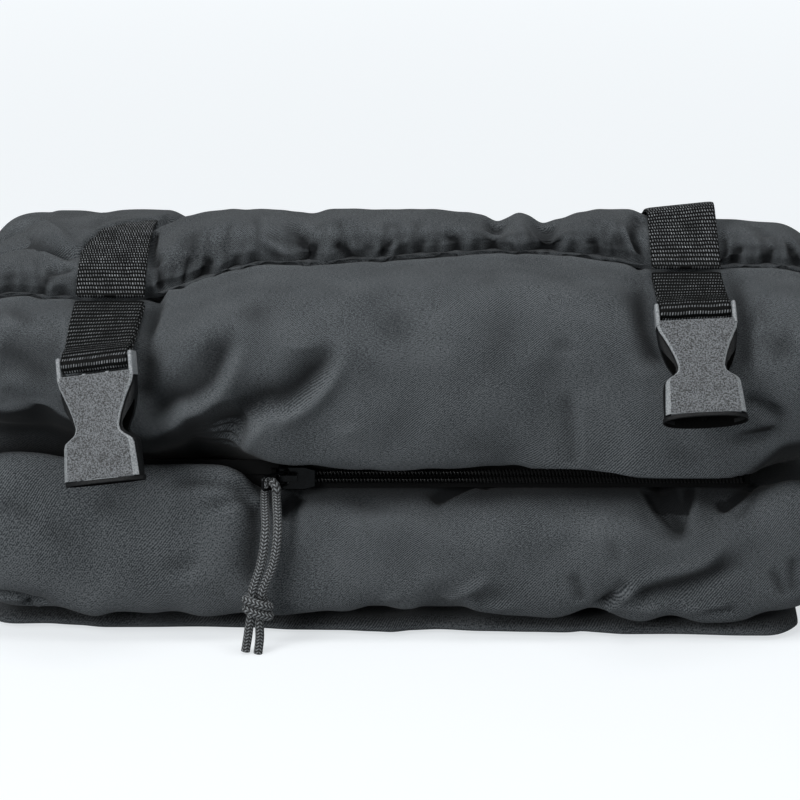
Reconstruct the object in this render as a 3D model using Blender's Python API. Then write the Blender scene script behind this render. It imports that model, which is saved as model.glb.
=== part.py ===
# Folded sleeping bag with two stow straps, side-release buckles and a corded zip.
# Metres, +Z up. The front faces -Y. The origin is on the floor under the middle of the bag.

import math

import bmesh
import bpy
from mathutils import Matrix, Vector

# Bag, as it lies folded in two full layers on a thin folded-under one
CLEARANCE = 0.0004
HALF_LENGTH = 0.158
END_ROUNDING = 0.018
END_FACE_SHARE = 0.93
FABRIC = 0.0013
BAG_BACK = 0.085
LAYER_POWER = 3.5
LOWER_POWER = 3.8
LOWER_TOP_POWER = 3.2
STRAP_SHOULDER_POWER = 2.3

# Thin layer folded underneath
BASE_FRONT = -0.077
BASE_BACK = 0.074
BASE_HEIGHT = 0.0048
BASE_FLAT_CUT = 0.0005
BASE_LEFT_END = -0.152
BASE_RIGHT_END = 0.147
BASE_CORNER = 0.010
BASE_POWER = 5.0

# Lower layer
LOWER_FRONT = -0.0829
LOWER_TOP = 0.0582

# Upper layer
UPPER_FRONT = -0.084
UPPER_BOTTOM = 0.0600
UPPER_TOP = 0.1390
REAR_FACTOR = 0.905
REAR_FALL = 1.3
REAR_LEFT_RISE = 0.095
REAR_RISE_START = 0.023
REAR_RISE_END = 0.046
REAR_DENT = 0.030
REAR_DENT_HALF = 0.014
REAR_DENT_FADE = 0.012
SAG_MIDDLE = 0.0040
SAG_RIGHT = 0.0085
SAG_PLACE = -0.0815
SAG_REACH = 0.0055
SAG_START = 0.040
SAG_FADE = 0.108
RIGHT_BELLY = 0.0015
RIGHT_BELLY_WIDTH = 0.032
LEFT_DENT = 0.006
LEFT_DENT_WIDTH = 0.026

# Lining panels between the two layers
LINING_THICKNESS = 0.0012
LINING_FRONT = -0.054
LINING_BACK = 0.056
LINING_HALF_LENGTH = 0.124
OPENING_MARGIN = 0.0006

# Hem band along the front top edge
SEAM_Y = -0.0535
BAND_BACK = 0.010
BAND_HEIGHT = 0.0090
BAND_WALL = 0.0012
BAND_EDGE = 0.0030
BAND_LIFT = 0.0010
FILL_LIFT = 0.0006

# Zip
ZIP_Y = -0.0660
TAPE_THICKNESS = 0.0006
LOWER_TAPE_WIDTH = 0.0044
UPPER_TAPE_WIDTH = 0.0053
TAPE_LEFT = -0.098
CHAIN_LEFT = -0.0445
CHAIN_RIGHT = 0.125
COIL_RADIUS = 0.00125
COIL_GAP = 0.0003
STOP_LENGTH = 0.0020
SLIDER_LEFT = -0.0442
SLIDER_LENGTH = 0.0135
SLIDER_TALL = 0.0086
SLIDER_PLATE = 0.0014
SLIDER_RUN = 0.00038

# Wire bail on the slider
WIRE_RADIUS = 0.0006
BAIL_X = -0.0406
BAIL_LENGTH = 0.0125
BAIL_WIDTH = 0.0050
BAIL_LIFT = 0.0007
BAIL_TURN = math.radians(45)

# Pull cord
CORD_RADIUS = 0.00165
EYE_SHARE = 0.66
KNOT_WIDTH = 0.0128
KNOT_DEPTH = 0.0090
KNOT_HEIGHT = 0.0088
KNOT_GAP = 0.0007
KNOT_AT = Vector((-0.0512, -0.0925, 0.0172))

# Webbing
WEBBING_WIDTH = 0.0250
WEBBING = 0.0013
PLY_GAP = 0.0004
STRAP_LIFT = 0.0010
SHORT_STRAP_LIFT = 0.0004
LEFT_STRAP_X = -0.1052
RIGHT_STRAP_X = 0.1036
REAR_STRAP_DROP = 0.060
STRAP_TAIL = 0.030
REAR_TURN_GAP = 0.0008
SEAM_ALLOWANCE = 0.0016

# Side-release buckles
BAR_RADIUS = 0.0015
CHEEK_TIP = 0.0026
SLOT_EDGE = 0.0038
CHEEK_WALL = 0.0016
BUCKLE_LENGTH = 0.0434
SHOULDER_HALF = 0.0143
WAIST_HALF = 0.0082
FLARE_HALF = 0.0123
MOUTH_HALF = 0.0150
SLOT_THICKNESS = 0.0072
WAIST_THICKNESS = 0.0086
MOUTH_THICKNESS = 0.0104
MOUTH_WALL = 0.0016
PLUG_LENGTH = 0.036
ARM_REACH = 0.0094
ARM_ROOT = 0.0142

LEFT_BAR = Vector((-0.1077, -0.0885, 0.1073))
RIGHT_BAR = Vector((0.1050, -0.0795, 0.1235))
LEFT_TILT = math.radians(20)
RIGHT_TILT = math.radians(40)
LEFT_LEAN = math.radians(5)
RIGHT_LEAN = math.radians(3)
LEFT_YAW = math.radians(-17)


def remove_everything():
    for old in list(bpy.data.objects):
        bpy.data.objects.remove(old, do_unlink=True)


def finish_material(name, colour, roughness, metallic=0.0):
    material = bpy.data.materials.new(name)
    material.use_nodes = True
    shader = material.node_tree.nodes["Principled BSDF"]
    shader.inputs["Base Color"].default_value = (*colour, 1.0)
    shader.inputs["Roughness"].default_value = roughness
    shader.inputs["Metallic"].default_value = metallic
    return material


def make_materials():
    return {
        "twill": finish_material("charcoal_twill", (0.060, 0.067, 0.072), 0.85),
        "lining": finish_material("lining_cloth", (0.045, 0.050, 0.055), 0.85),
        "fill": finish_material("white_wadding", (0.75, 0.76, 0.78), 0.95),
        "webbing": finish_material("black_webbing", (0.018, 0.022, 0.026), 0.75),
        "buckle": finish_material("grey_acetal", (0.085, 0.092, 0.098), 0.55),
        "zip": finish_material("black_zip_coil", (0.012, 0.014, 0.016), 0.45),
        "metal": finish_material("blackened_zinc", (0.10, 0.105, 0.11), 0.35, 0.9),
        "cord": finish_material("charcoal_cord", (0.030, 0.034, 0.038), 0.7),
    }


def add_object(name, bm, material, origin=None, smooth_angle=40):
    """Makes the mesh an object whose own origin is at the given point."""
    bmesh.ops.remove_doubles(bm, verts=bm.verts, dist=1e-6)
    bmesh.ops.recalc_face_normals(bm, faces=bm.faces)
    place = Vector(origin) if origin is not None else Vector((0.0, 0.0, 0.0))
    bmesh.ops.translate(bm, verts=bm.verts, vec=-place)
    mesh = bpy.data.meshes.new(name)
    bm.to_mesh(mesh)
    bm.free()
    mesh.shade_smooth()
    mesh.set_sharp_from_angle(angle=math.radians(smooth_angle))
    mesh.materials.append(material)
    obj = bpy.data.objects.new(name, mesh)
    obj.location = place
    bpy.context.scene.collection.objects.link(obj)
    return obj


def hide_cutter(obj):
    obj.hide_render = True
    obj.display_type = "WIRE"


def combine(obj, other, operation):
    """Adds a live Boolean whose second solid stays in the file as a hidden guide."""
    hide_cutter(other)
    step = obj.modifiers.new(operation.lower() + "_" + other.name, "BOOLEAN")
    step.operation = operation
    step.solver = "EXACT"
    step.object = other


def loft(rings):
    """Closed solid through a list of rings that have the same number of points."""
    bm = bmesh.new()
    rows = [[bm.verts.new(point) for point in ring] for ring in rings]
    count = len(rows[0])
    for first, second in zip(rows, rows[1:]):
        for i in range(count):
            j = (i + 1) % count
            bm.faces.new((first[i], first[j], second[j]))
            bm.faces.new((first[i], second[j], second[i]))
    bm.faces.new(list(reversed(rows[0])))
    bm.faces.new(rows[-1])
    return bm


def block(low, high, edge=0.0):
    """Box between two corners, with its edges bevelled."""
    bm = bmesh.new()
    bmesh.ops.create_cube(bm, size=1.0)
    size = Vector(high) - Vector(low)
    bmesh.ops.scale(bm, vec=size, verts=bm.verts)
    bmesh.ops.translate(bm, vec=(Vector(high) + Vector(low)) / 2, verts=bm.verts)
    if edge > 0:
        bmesh.ops.bevel(bm, geom=bm.edges[:], offset=edge, segments=2, profile=0.5, affect="EDGES")
    return bm


def rod(start, end, radius, sides=16):
    """Straight round bar between two points."""
    bm = bmesh.new()
    axis = Vector(end) - Vector(start)
    turn = axis.to_track_quat("Z", "Y").to_matrix().to_4x4()
    middle = (Vector(start) + Vector(end)) / 2
    bmesh.ops.create_cone(bm, cap_ends=True, segments=sides, radius1=radius, radius2=radius,
                          depth=axis.length, matrix=Matrix.Translation(middle) @ turn)
    return bm


def smooth_step(value, low, high):
    t = min(max((value - low) / (high - low), 0.0), 1.0)
    return t * t * (3.0 - 2.0 * t)


def bump(x, centre, width):
    return math.exp(-((x - centre) / width) ** 2)


def through_values(x, stops):
    """Smooth value at x through (place, value) stops."""
    if x <= stops[0][0]:
        return stops[0][1]
    for (x0, v0), (x1, v1) in zip(stops, stops[1:]):
        if x <= x1:
            return v0 + (v1 - v0) * smooth_step(x, x0, x1)
    return stops[-1][1]


# Height of the gathered seam along the bag, lower at the left end where the strap pulls it
SEAM_HEIGHTS = ((-0.150, 0.1232), (-0.090, 0.1240), (-0.045, 0.1345),
                (0.036, 0.1388), (0.110, 0.1340), (0.150, 0.1330))


def front_factor(x):
    """How tall the front of the upper layer is at x, as a share of its full height."""
    return (through_values(x, SEAM_HEIGHTS) - UPPER_BOTTOM) / (UPPER_TOP - UPPER_BOTTOM)


def height_factor(x, y):
    rear = REAR_FACTOR - REAR_FALL * max(y, 0.0)
    behind = smooth_step(y, REAR_RISE_START, REAR_RISE_END)
    rear += REAR_LEFT_RISE * (1.0 - smooth_step(x, -0.115, -0.045)) * behind
    away = abs(x - LEFT_STRAP_X)
    rear -= REAR_DENT * (1.0 - smooth_step(away, REAR_DENT_HALF, REAR_DENT_HALF + REAR_DENT_FADE)) * behind
    blend = smooth_step(y, -0.025, 0.022)
    return front_factor(x) * (1.0 - blend) + rear * blend


def end_inset(x, half_length=HALF_LENGTH):
    """Share of the section that is left at x, where the ends draw in."""
    t = (abs(x) - (half_length - END_ROUNDING)) / END_ROUNDING
    if t <= 0:
        return 0.0
    t = min(t, 1.0) * END_FACE_SHARE
    return END_ROUNDING * (1.0 - math.sqrt(1.0 - t * t))


def stations(half_length, body_steps, end_steps):
    """Places along X, close together where the ends are round."""
    inner = half_length - END_ROUNDING
    ends = [inner + END_ROUNDING * math.sin(math.pi / 2 * (i + 1) / end_steps) for i in range(end_steps)]
    body = [-inner + 2 * inner * i / body_steps for i in range(body_steps + 1)]
    return [-x for x in reversed(ends)] + body + ends


def section_angles(steps):
    """Even angles round a section, twice as close along its front lower corner."""
    angles = []
    for i in range(steps):
        angles.append(2 * math.pi * i / steps)
        if math.pi * 1.12 < angles[-1] < math.pi * 1.34:
            angles.append(angles[-1] + math.pi / steps)
    return angles


def rounded_section(front, back, low, high, powers, steps, x, inset, wall=0.0):
    """Points (x, y, z) of a pillow section; powers are (plain, front top corner)."""
    half_y = (back - front) / 2
    half_z = (high - low) / 2
    mid_y = (back + front) / 2
    mid_z = (high + low) / 2
    shrink_y = (half_y - wall - inset) / half_y
    shrink_z = (half_z - wall - inset) / half_z
    ring = []
    for t in section_angles(steps):
        c = math.cos(t)
        s = math.sin(t)
        power = powers[1] if c < 0 < s else powers[0]
        reach = (abs(c) ** power + abs(s) ** power) ** (-1 / power)
        ring.append(Vector((x, mid_y + half_y * c * reach * shrink_y, mid_z + half_z * s * reach * shrink_z)))
    return ring


def upper_section(x, steps, wall=0.0):
    belly = RIGHT_BELLY * bump(x, RIGHT_STRAP_X, RIGHT_BELLY_WIDTH)
    belly -= LEFT_DENT * bump(x, LEFT_STRAP_X - 0.009, LEFT_DENT_WIDTH)
    soft = max(bump(x, LEFT_STRAP_X, 0.026), bump(x, RIGHT_STRAP_X, 0.028))
    corner = LAYER_POWER + (STRAP_SHOULDER_POWER - LAYER_POWER) * soft
    ring = rounded_section(UPPER_FRONT - belly, BAG_BACK, UPPER_BOTTOM, UPPER_TOP,
                           (LAYER_POWER, corner), steps, x, end_inset(x), wall)
    sag = SAG_MIDDLE * smooth_step(x, -0.060, -0.035) + SAG_RIGHT * smooth_step(x, SAG_START, SAG_START + 0.022)
    sag *= 1.0 - smooth_step(x, SAG_FADE, HALF_LENGTH - END_ROUNDING)
    for point in ring:
        lower_half = point.z < (UPPER_BOTTOM + UPPER_TOP) / 2
        point.z = UPPER_BOTTOM + (point.z - UPPER_BOTTOM) * height_factor(x, point.y)
        if lower_half:
            point.z -= sag * bump(point.y, SAG_PLACE, SAG_REACH)
    return ring


def lower_section(x, steps, wall=0.0):
    low = BASE_HEIGHT + CLEARANCE
    return rounded_section(LOWER_FRONT, BAG_BACK - 0.002, low, LOWER_TOP,
                           (LOWER_POWER, LOWER_TOP_POWER), steps, x, end_inset(x), wall)


def base_section(x, steps=24, wall=0.0):
    """Section of the folded-under layer, with its corners rounded in plan and a flat underside."""
    inner_left = BASE_LEFT_END + BASE_CORNER
    inner_right = BASE_RIGHT_END - BASE_CORNER
    past = max(inner_left - x, x - inner_right, 0.0)
    corner = BASE_CORNER - math.sqrt(max(BASE_CORNER ** 2 - past ** 2, 0.0))
    ring = rounded_section(BASE_FRONT + corner, BASE_BACK - corner, -BASE_FLAT_CUT, BASE_HEIGHT,
                           (BASE_POWER, BASE_POWER), steps, x, 0.0, wall)
    for point in ring:
        point.z = max(point.z, wall)
    return ring


def base_places(inset):
    """Places along X for the folded-under layer, closer together at its round corners."""
    left = BASE_LEFT_END + inset
    right = BASE_RIGHT_END - inset
    steps = [BASE_CORNER * share for share in (0.0, 0.15, 0.45, 1.0)]
    return [left + step for step in steps] + [right - step for step in reversed(steps)]


def section_at(x, section, places, steps):
    """Section of the faceted layer at any x, read between its two neighbouring rings."""
    for x0, x1 in zip(places, places[1:]):
        if x <= x1:
            share = (x - x0) / (x1 - x0)
            pairs = zip(section(x0, steps), section(x1, steps))
            return [a.lerp(b, share) for a, b in pairs]
    return section(places[-1], steps)


LAYER_STEPS = 24
LAYER_PLACES = stations(HALF_LENGTH, 12, 2)


def shortened(places, inset):
    """The same places along X with the first and last moved inwards."""
    return [places[0] + inset] + places[1:-1] + [places[-1] - inset]


def quilted_layer(name, section, lining_low, lining_high, opens_up, skins):
    """Outer fabric with its filling, open where the lining panel closes it."""
    shell = add_object(name + "_shell", loft([section(x, LAYER_STEPS) for x in LAYER_PLACES]), skins["twill"])
    hollow = [section(x, LAYER_STEPS, FABRIC) for x in shortened(LAYER_PLACES, 2 * FABRIC)]
    cavity = add_object(name + "_cavity", loft(hollow), skins["fill"])
    combine(shell, cavity, "DIFFERENCE")
    beyond = 0.02
    low = (-LINING_HALF_LENGTH - OPENING_MARGIN, LINING_FRONT - OPENING_MARGIN, lining_low - beyond)
    high = (LINING_HALF_LENGTH + OPENING_MARGIN, LINING_BACK + OPENING_MARGIN, lining_high + 0.004)
    if opens_up:
        low = (low[0], low[1], lining_low - 0.004)
        high = (high[0], high[1], lining_high + beyond)
    opening = add_object(name + "_opening", block(low, high), skins["fill"])
    combine(shell, opening, "DIFFERENCE")
    fill_places = shortened(LAYER_PLACES, 2 * FABRIC + CLEARANCE)
    fill_rings = [section(x, LAYER_STEPS, FABRIC + CLEARANCE) for x in fill_places]
    fill_limit = lining_low - CLEARANCE if opens_up else lining_high + CLEARANCE
    for ring in fill_rings:
        for point in ring:
            point.z = min(point.z, fill_limit) if opens_up else max(point.z, fill_limit)
    add_object(name + "_insulation", loft(fill_rings), skins["fill"])
    return shell


def make_lining(name, low, high, skins):
    corner_low = (-LINING_HALF_LENGTH, LINING_FRONT, low)
    corner_high = (LINING_HALF_LENGTH, LINING_BACK, high)
    add_object(name, block(corner_low, corner_high), skins["lining"])


def make_layers(skins):
    middle = (LOWER_TOP + UPPER_BOTTOM) / 2
    upper_low = middle + CLEARANCE / 2
    lower_high = middle - CLEARANCE / 2
    quilted_layer("upper", upper_section, upper_low, upper_low + LINING_THICKNESS, False, skins)
    make_lining("upper_lining", upper_low, upper_low + LINING_THICKNESS, skins)
    quilted_layer("lower", lower_section, lower_high - LINING_THICKNESS, lower_high, True, skins)
    make_lining("lower_lining", lower_high - LINING_THICKNESS, lower_high, skins)


def make_base(skins):
    shell = add_object("base_shell", loft([base_section(x) for x in base_places(0.0)]), skins["twill"])
    hollow = []
    filling = []
    for x in base_places(2 * FABRIC):
        hollow.append(base_section(x, 24, FABRIC))
    for x in base_places(2 * FABRIC + CLEARANCE):
        filling.append(base_section(x, 24, FABRIC + CLEARANCE))
    for rings, top in ((hollow, BASE_HEIGHT + 0.002), (filling, BASE_HEIGHT)):
        for ring in rings:
            for point in ring:
                if point.z > BASE_HEIGHT / 2:
                    point.z = top
    combine(shell, add_object("base_cavity", loft(hollow), skins["fill"]), "DIFFERENCE")
    add_object("base_insulation", loft(filling), skins["fill"])


def layer_top(x, y):
    """Height of the upper layer's top skin at a place, read from its facets."""
    ring = section_at(x, upper_section, LAYER_PLACES, LAYER_STEPS)
    best = UPPER_BOTTOM
    for a, b in zip(ring, ring[1:] + ring[:1]):
        if min(a.y, b.y) <= y <= max(a.y, b.y) and a.y != b.y:
            share = (y - a.y) / (b.y - a.y)
            best = max(best, a.z + (b.z - a.z) * share)
    return best


BAND_STEPS = 12


def band_ring(x, front, back, sink, height):
    """Closed section of the hem band: its underside follows the layer below."""
    under = []
    over = []
    draw_in = end_inset(x) * 0.5
    step = (back - front) / (BAND_STEPS - 1)
    for i in range(BAND_STEPS):
        u = i / (BAND_STEPS - 1)
        y = front + step * i
        near = [layer_top(x, y + step * share) for share in (-0.5, 0.0, 0.5)]
        round_over = max(near[1] - (near[0] + near[2]) / 2, 0.0)
        z = near[1] + 2 * round_over + BAND_LIFT
        crown = math.sin(math.pi * (0.04 + 0.92 * u)) ** 0.6
        under.append(Vector((x, y, z - sink)))
        over.append(Vector((x, y, z + max(height - draw_in, 0.002) * crown)))
    return under + list(reversed(over))


def band_places():
    return [x for x in LAYER_PLACES if abs(x) < HALF_LENGTH - END_ROUNDING * 0.2]


def band_outline(x):
    return band_ring(x, SEAM_Y, BAND_BACK, 0.0, BAND_HEIGHT)


def make_hem_band(skins):
    places = band_places()
    shell = add_object("hem_band_shell", loft([band_outline(x) for x in places]), skins["twill"])
    inner_places = shortened(places, BAND_WALL)
    fill_places = shortened(places, BAND_WALL + CLEARANCE)
    hollow_front = SEAM_Y + BAND_EDGE
    hollow_back = BAND_BACK - BAND_EDGE
    hollow_height = BAND_HEIGHT - BAND_WALL
    cavity_rings = [band_ring(x, hollow_front, hollow_back, 0.002, hollow_height) for x in inner_places]
    cavity = add_object("hem_band_cavity", loft(cavity_rings), skins["fill"])
    combine(shell, cavity, "DIFFERENCE")
    fill_rings = [band_ring(x, hollow_front + CLEARANCE, hollow_back - CLEARANCE, -FILL_LIFT, hollow_height - CLEARANCE)
                  for x in fill_places]
    add_object("hem_band_insulation", loft(fill_rings), skins["fill"])


def ribbon(centres, acrosses, thickness, width):
    """Flat webbing along a route; acrosses are the unit directions of its width."""
    rings = []
    last = len(centres) - 1
    for i, (centre, across) in enumerate(zip(centres, acrosses)):
        before = centres[max(i - 1, 0)]
        after = centres[min(i + 1, last)]
        normal = (after - before).cross(across).normalized()
        side = across * (width / 2)
        up = normal * (thickness / 2)
        rings.append([centre - side - up, centre + side - up, centre + side + up, centre - side + up])
    return loft(rings)


def turn_of(a, b, c):
    return (b.x - a.x) * (c.y - a.y) - (b.y - a.y) * (c.x - a.x)


def resample(points, spacing):
    """Evenly spaced points along a chain of straight runs."""
    kept = [points[0]]
    carried = 0.0
    for a, b in zip(points, points[1:]):
        run = (b - a).length
        done = spacing - carried
        while done < run:
            kept.append(a.lerp(b, done / run))
            done += spacing
        carried = run - (done - spacing)
    if (kept[-1] - points[-1]).length > spacing * 0.4:
        kept.append(points[-1])
    else:
        kept[-1] = points[-1]
    return kept


def relax(points, rounds):
    """Softens the corners of a chain, with its ends held."""
    for _ in range(rounds):
        middle = [(a + b * 2 + c) / 4 for a, b, c in zip(points, points[1:], points[2:])]
        points = [points[0]] + middle + [points[-1]]
    return points


def wrap_route(mid, bar, outward, heading, tail_length):
    """Front ply, the turn round the bar and the back ply, in 3-D."""
    ply = (WEBBING + PLY_GAP) / 2
    turn = BAR_RADIUS + CLEARANCE + WEBBING / 2
    front = []
    back = []
    last = len(mid) - 1
    for i, point in enumerate(mid):
        before = mid[max(i - 1, 0)]
        after = mid[min(i + 1, last)]
        along = (after - before).normalized()
        normal = (outward - along * outward.dot(along)).normalized()
        distance = (bar - point).length
        spread = ply + (turn - ply) * (1.0 - smooth_step(distance, 0.002, 0.010))
        front.append(point + normal * spread)
        back.append(point - normal * spread)
    arc = []
    for i in range(1, 8):
        t = math.pi * i / 8
        arc.append(bar + (outward * math.cos(t) + heading * math.sin(t)) * turn)
    kept = []
    length = 0.0
    for a, b in zip(reversed(back), list(reversed(back))[1:] + [None]):
        kept.append(a)
        if b is None or length > tail_length:
            break
        length += (b - a).length
    start = [bar + outward * turn]
    end = [bar - outward * turn]
    return front + start + arc + end + kept


def buckle_frame(bar, tilt, lean, yaw):
    """World matrix of a buckle: X along its bar, -Z towards its mouth, -Y its face."""
    turn = Matrix.Rotation(-tilt, 4, "X") @ Matrix.Rotation(-lean, 4, "Y") @ Matrix.Rotation(yaw, 4, "Z")
    return Matrix.Translation(bar) @ turn


def oval(half_x, half_y, z, power, steps=20):
    ring = []
    for i in range(steps):
        t = 2 * math.pi * (i + 0.5) / steps
        c = math.cos(t)
        s = math.sin(t)
        reach = (abs(c) ** power + abs(s) ** power) ** (-1 / power)
        ring.append(Vector((half_x * c * reach, half_y * s * reach, z)))
    return ring


def put(obj, frame):
    obj.matrix_world = frame


def webbing_end(name, frame, skins, plate_thickness):
    """Bar and two cheeks that hold the webbing, as separate guides to be joined."""
    inner = WEBBING_WIDTH / 2 + CLEARANCE
    outer = inner + CHEEK_WALL
    pieces = []
    for side in (-1, 1):
        xs = sorted((side * inner, side * outer))
        low = (xs[0], -plate_thickness * 0.42, -SLOT_EDGE - 0.002)
        high = (xs[1], plate_thickness * 0.42, CHEEK_TIP)
        pieces.append(add_object(name + ("_cheek_left" if side < 0 else "_cheek_right"),
                                 block(low, high, 0.0005), skins["buckle"]))
    bar_reach = inner + CHEEK_WALL / 2
    pieces.append(add_object(name + "_bar", rod((-bar_reach, 0, 0), (bar_reach, 0, 0), BAR_RADIUS), skins["buckle"]))
    for piece in pieces:
        put(piece, frame)
    return pieces


def make_female_buckle(name, frame, skins):
    shoulder = SLOT_EDGE + 0.0018
    waist = BUCKLE_LENGTH * 0.53
    flare = BUCKLE_LENGTH * 0.665
    rings = [
        oval(SHOULDER_HALF - 0.0004, SLOT_THICKNESS / 2 - 0.0006, -SLOT_EDGE, 6),
        oval(SHOULDER_HALF, SLOT_THICKNESS / 2, -SLOT_EDGE - 0.0010, 6),
        oval(SHOULDER_HALF, SLOT_THICKNESS / 2, -shoulder, 6),
        oval((SHOULDER_HALF + WAIST_HALF) / 2, WAIST_THICKNESS * 0.46, -(shoulder + waist) / 2, 5),
        oval(WAIST_HALF + 0.0004, WAIST_THICKNESS / 2, -waist + 0.002, 5),
        oval(WAIST_HALF, WAIST_THICKNESS / 2, -waist, 5),
        oval(WAIST_HALF + 0.0012, WAIST_THICKNESS / 2, -waist - 0.0028, 4),
        oval(FLARE_HALF, WAIST_THICKNESS / 2 + 0.0002, -flare, 4),
        oval(MOUTH_HALF - 0.0012, MOUTH_THICKNESS / 2 - 0.0004, -BUCKLE_LENGTH + 0.0022, 3),
        oval(MOUTH_HALF, MOUTH_THICKNESS / 2, -BUCKLE_LENGTH + 0.0012, 3),
        oval(MOUTH_HALF, MOUTH_THICKNESS / 2, -BUCKLE_LENGTH, 3),
    ]
    body = add_object(name, loft(rings), skins["buckle"])
    put(body, frame)
    for piece in webbing_end(name, frame, skins, SLOT_THICKNESS):
        combine(body, piece, "UNION")
    throat = WAIST_HALF - MOUTH_WALL
    cavity = [
        oval(throat, WAIST_THICKNESS / 2 - MOUTH_WALL, -BUCKLE_LENGTH * 0.36, 4),
        oval(throat, WAIST_THICKNESS / 2 - MOUTH_WALL, -waist - 0.002, 4),
        oval(FLARE_HALF - MOUTH_WALL, WAIST_THICKNESS / 2 - MOUTH_WALL, -flare - 0.001, 3.5),
        oval(MOUTH_HALF - MOUTH_WALL, MOUTH_THICKNESS / 2 - MOUTH_WALL, -BUCKLE_LENGTH - 0.001, 3),
    ]
    hollow = add_object(name + "_cavity", loft(cavity), skins["buckle"])
    put(hollow, frame)
    combine(body, hollow, "DIFFERENCE")
    window_low = (-0.02, -0.0021, -flare + 0.0024)
    window_high = (0.02, 0.0021, -BUCKLE_LENGTH * 0.39)
    window = add_object(name + "_window", block(window_low, window_high, 0.0008), skins["buckle"])
    put(window, frame)
    combine(body, window, "DIFFERENCE")
    return body


def extruded(outline, low, high, edge):
    """Plate from an outline in X and Z, between two values of Y, with its long edges rounded."""
    bm = bmesh.new()
    face = bm.faces.new([bm.verts.new((x, low, z)) for x, z in outline])
    grown = bmesh.ops.extrude_face_region(bm, geom=[face])
    moved = [v for v in grown["geom"] if isinstance(v, bmesh.types.BMVert)]
    bmesh.ops.translate(bm, verts=moved, vec=(0, high - low, 0))
    rim = [e for e in bm.edges if abs(e.verts[0].co.y - e.verts[1].co.y) < 1e-7]
    bmesh.ops.bevel(bm, geom=rim, offset=edge, segments=1, profile=0.5, affect="EDGES")
    return bm


def make_male_buckle(side, frame, skins):
    name = side + "_buckle_plug"
    rings = [
        oval(SHOULDER_HALF - 0.0004, 0.0026, -SLOT_EDGE, 6),
        oval(SHOULDER_HALF, 0.0031, -SLOT_EDGE - 0.0009, 6),
        oval(SHOULDER_HALF - 0.0006, 0.0031, -SLOT_EDGE - 0.0056, 6),
        oval(SHOULDER_HALF - 0.0008, 0.0042, -SLOT_EDGE - 0.0062, 4),
        oval(SHOULDER_HALF - 0.0010, 0.0042, -ARM_ROOT + 0.0012, 4),
    ]
    body = add_object(name, loft(rings), skins["buckle"])
    put(body, frame)
    for piece in webbing_end(name, frame, skins, 0.0062):
        combine(body, piece, "UNION")
    guide_rings = [
        oval(0.0021, 0.0016, -ARM_ROOT + 0.003, 4, 12),
        oval(0.0021, 0.0016, -PLUG_LENGTH + 0.004, 4, 12),
        oval(0.0012, 0.0009, -PLUG_LENGTH, 4, 12),
    ]
    guide = add_object(name + "_guide", loft(guide_rings), skins["buckle"])
    put(guide, frame)
    combine(body, guide, "UNION")
    for sign, hand in ((-1, "left"), (1, "right")):
        arm = [(0.0082, -ARM_ROOT + 0.0008), (0.0106, -ARM_ROOT + 0.0008), (0.0108, -0.0215),
               (0.0118, -0.0236), (0.0122, -0.0262), (0.0104, -0.0318), (0.0082, -0.0345),
               (0.0062, -0.0345), (0.0058, -0.0320), (0.0076, -0.0262), (0.0084, -0.0215)]
        outline = [(x * sign, z) for x, z in arm]
        piece = add_object(name + "_" + hand + "_arm", extruded(outline, -0.0019, 0.0019, 0.0004), skins["buckle"],
                           (ARM_REACH * sign, 0.0, -ARM_ROOT))
        put(piece, frame @ Matrix.Translation((ARM_REACH * sign, 0.0, -ARM_ROOT)))
    return body


def flat(points):
    return [Vector((p.y, p.z)) for p in points]


def lifted_points(outline, distance):
    """Both ends of every side of a closed outline, moved outwards by a distance."""
    moved = []
    for a, b in zip(outline, outline[1:] + outline[:1]):
        along = (b - a).normalized()
        away = Vector((along.y, -along.x)) * distance
        moved += [a + away, b + away]
    return moved


def make_short_strap(name, x_seam, bar, frame, skins):
    """Webbing sewn into the seam, down over the belly, round the buckle's bar and back."""
    half = WEBBING_WIDTH / 2
    seam_z = max(layer_top(x, SEAM_Y) for x in (x_seam - half, x_seam, x_seam + half))
    lift = SHORT_STRAP_LIFT + WEBBING + PLY_GAP / 2
    start = Vector((SEAM_Y - SEAM_ALLOWANCE, seam_z + lift))
    target = Vector((bar.y, bar.z))
    across_end = (frame.to_3x3() @ Vector((1, 0, 0))).normalized()
    lifted = []
    for x in (x_seam - half, x_seam - half / 2, x_seam, x_seam + half / 2, x_seam + half):
        lifted += lifted_points(flat(section_at(x, upper_section, LAYER_PLACES, LAYER_STEPS)), lift)
    lifted = [p for p in lifted if target.x < p.x < start.x and p.y > UPPER_BOTTOM + 0.02]
    chain = [start]
    for p in sorted(lifted, key=lambda q: -q.x):
        while len(chain) > 1 and turn_of(chain[-2], chain[-1], p) <= 0:
            chain.pop()
        chain.append(p)
    while len(chain) > 1 and turn_of(chain[-2], chain[-1], target) <= 0:
        chain.pop()
    chain.append(target)
    route = relax(resample(chain, 0.0025), 1)
    route = [p for p in route if (p - target).length > 0.0028]
    total = len(route)
    mid = []
    acrosses = []
    for i, p in enumerate(route):
        share = smooth_step(i, 0, total - 1)
        mid.append(Vector((x_seam + (bar.x - x_seam) * i / (total - 1), p.x, p.y)))
        acrosses.append(Vector((1, 0, 0)).lerp(across_end, share).normalized())
    heading = (bar - mid[-1]).normalized()
    heading = (heading - across_end * heading.dot(across_end)).normalized()
    outward = heading.cross(across_end).normalized()
    if outward.y > 0:
        outward = -outward
    centres = wrap_route(mid, bar, outward, heading, 1.0)
    turned = [across_end] * (len(centres) - 2 * total)
    widths = acrosses + turned + list(reversed(acrosses))
    bm = ribbon(centres, widths, WEBBING, WEBBING_WIDTH)
    return add_object(name, bm, skins["webbing"], smooth_angle=60)


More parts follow.
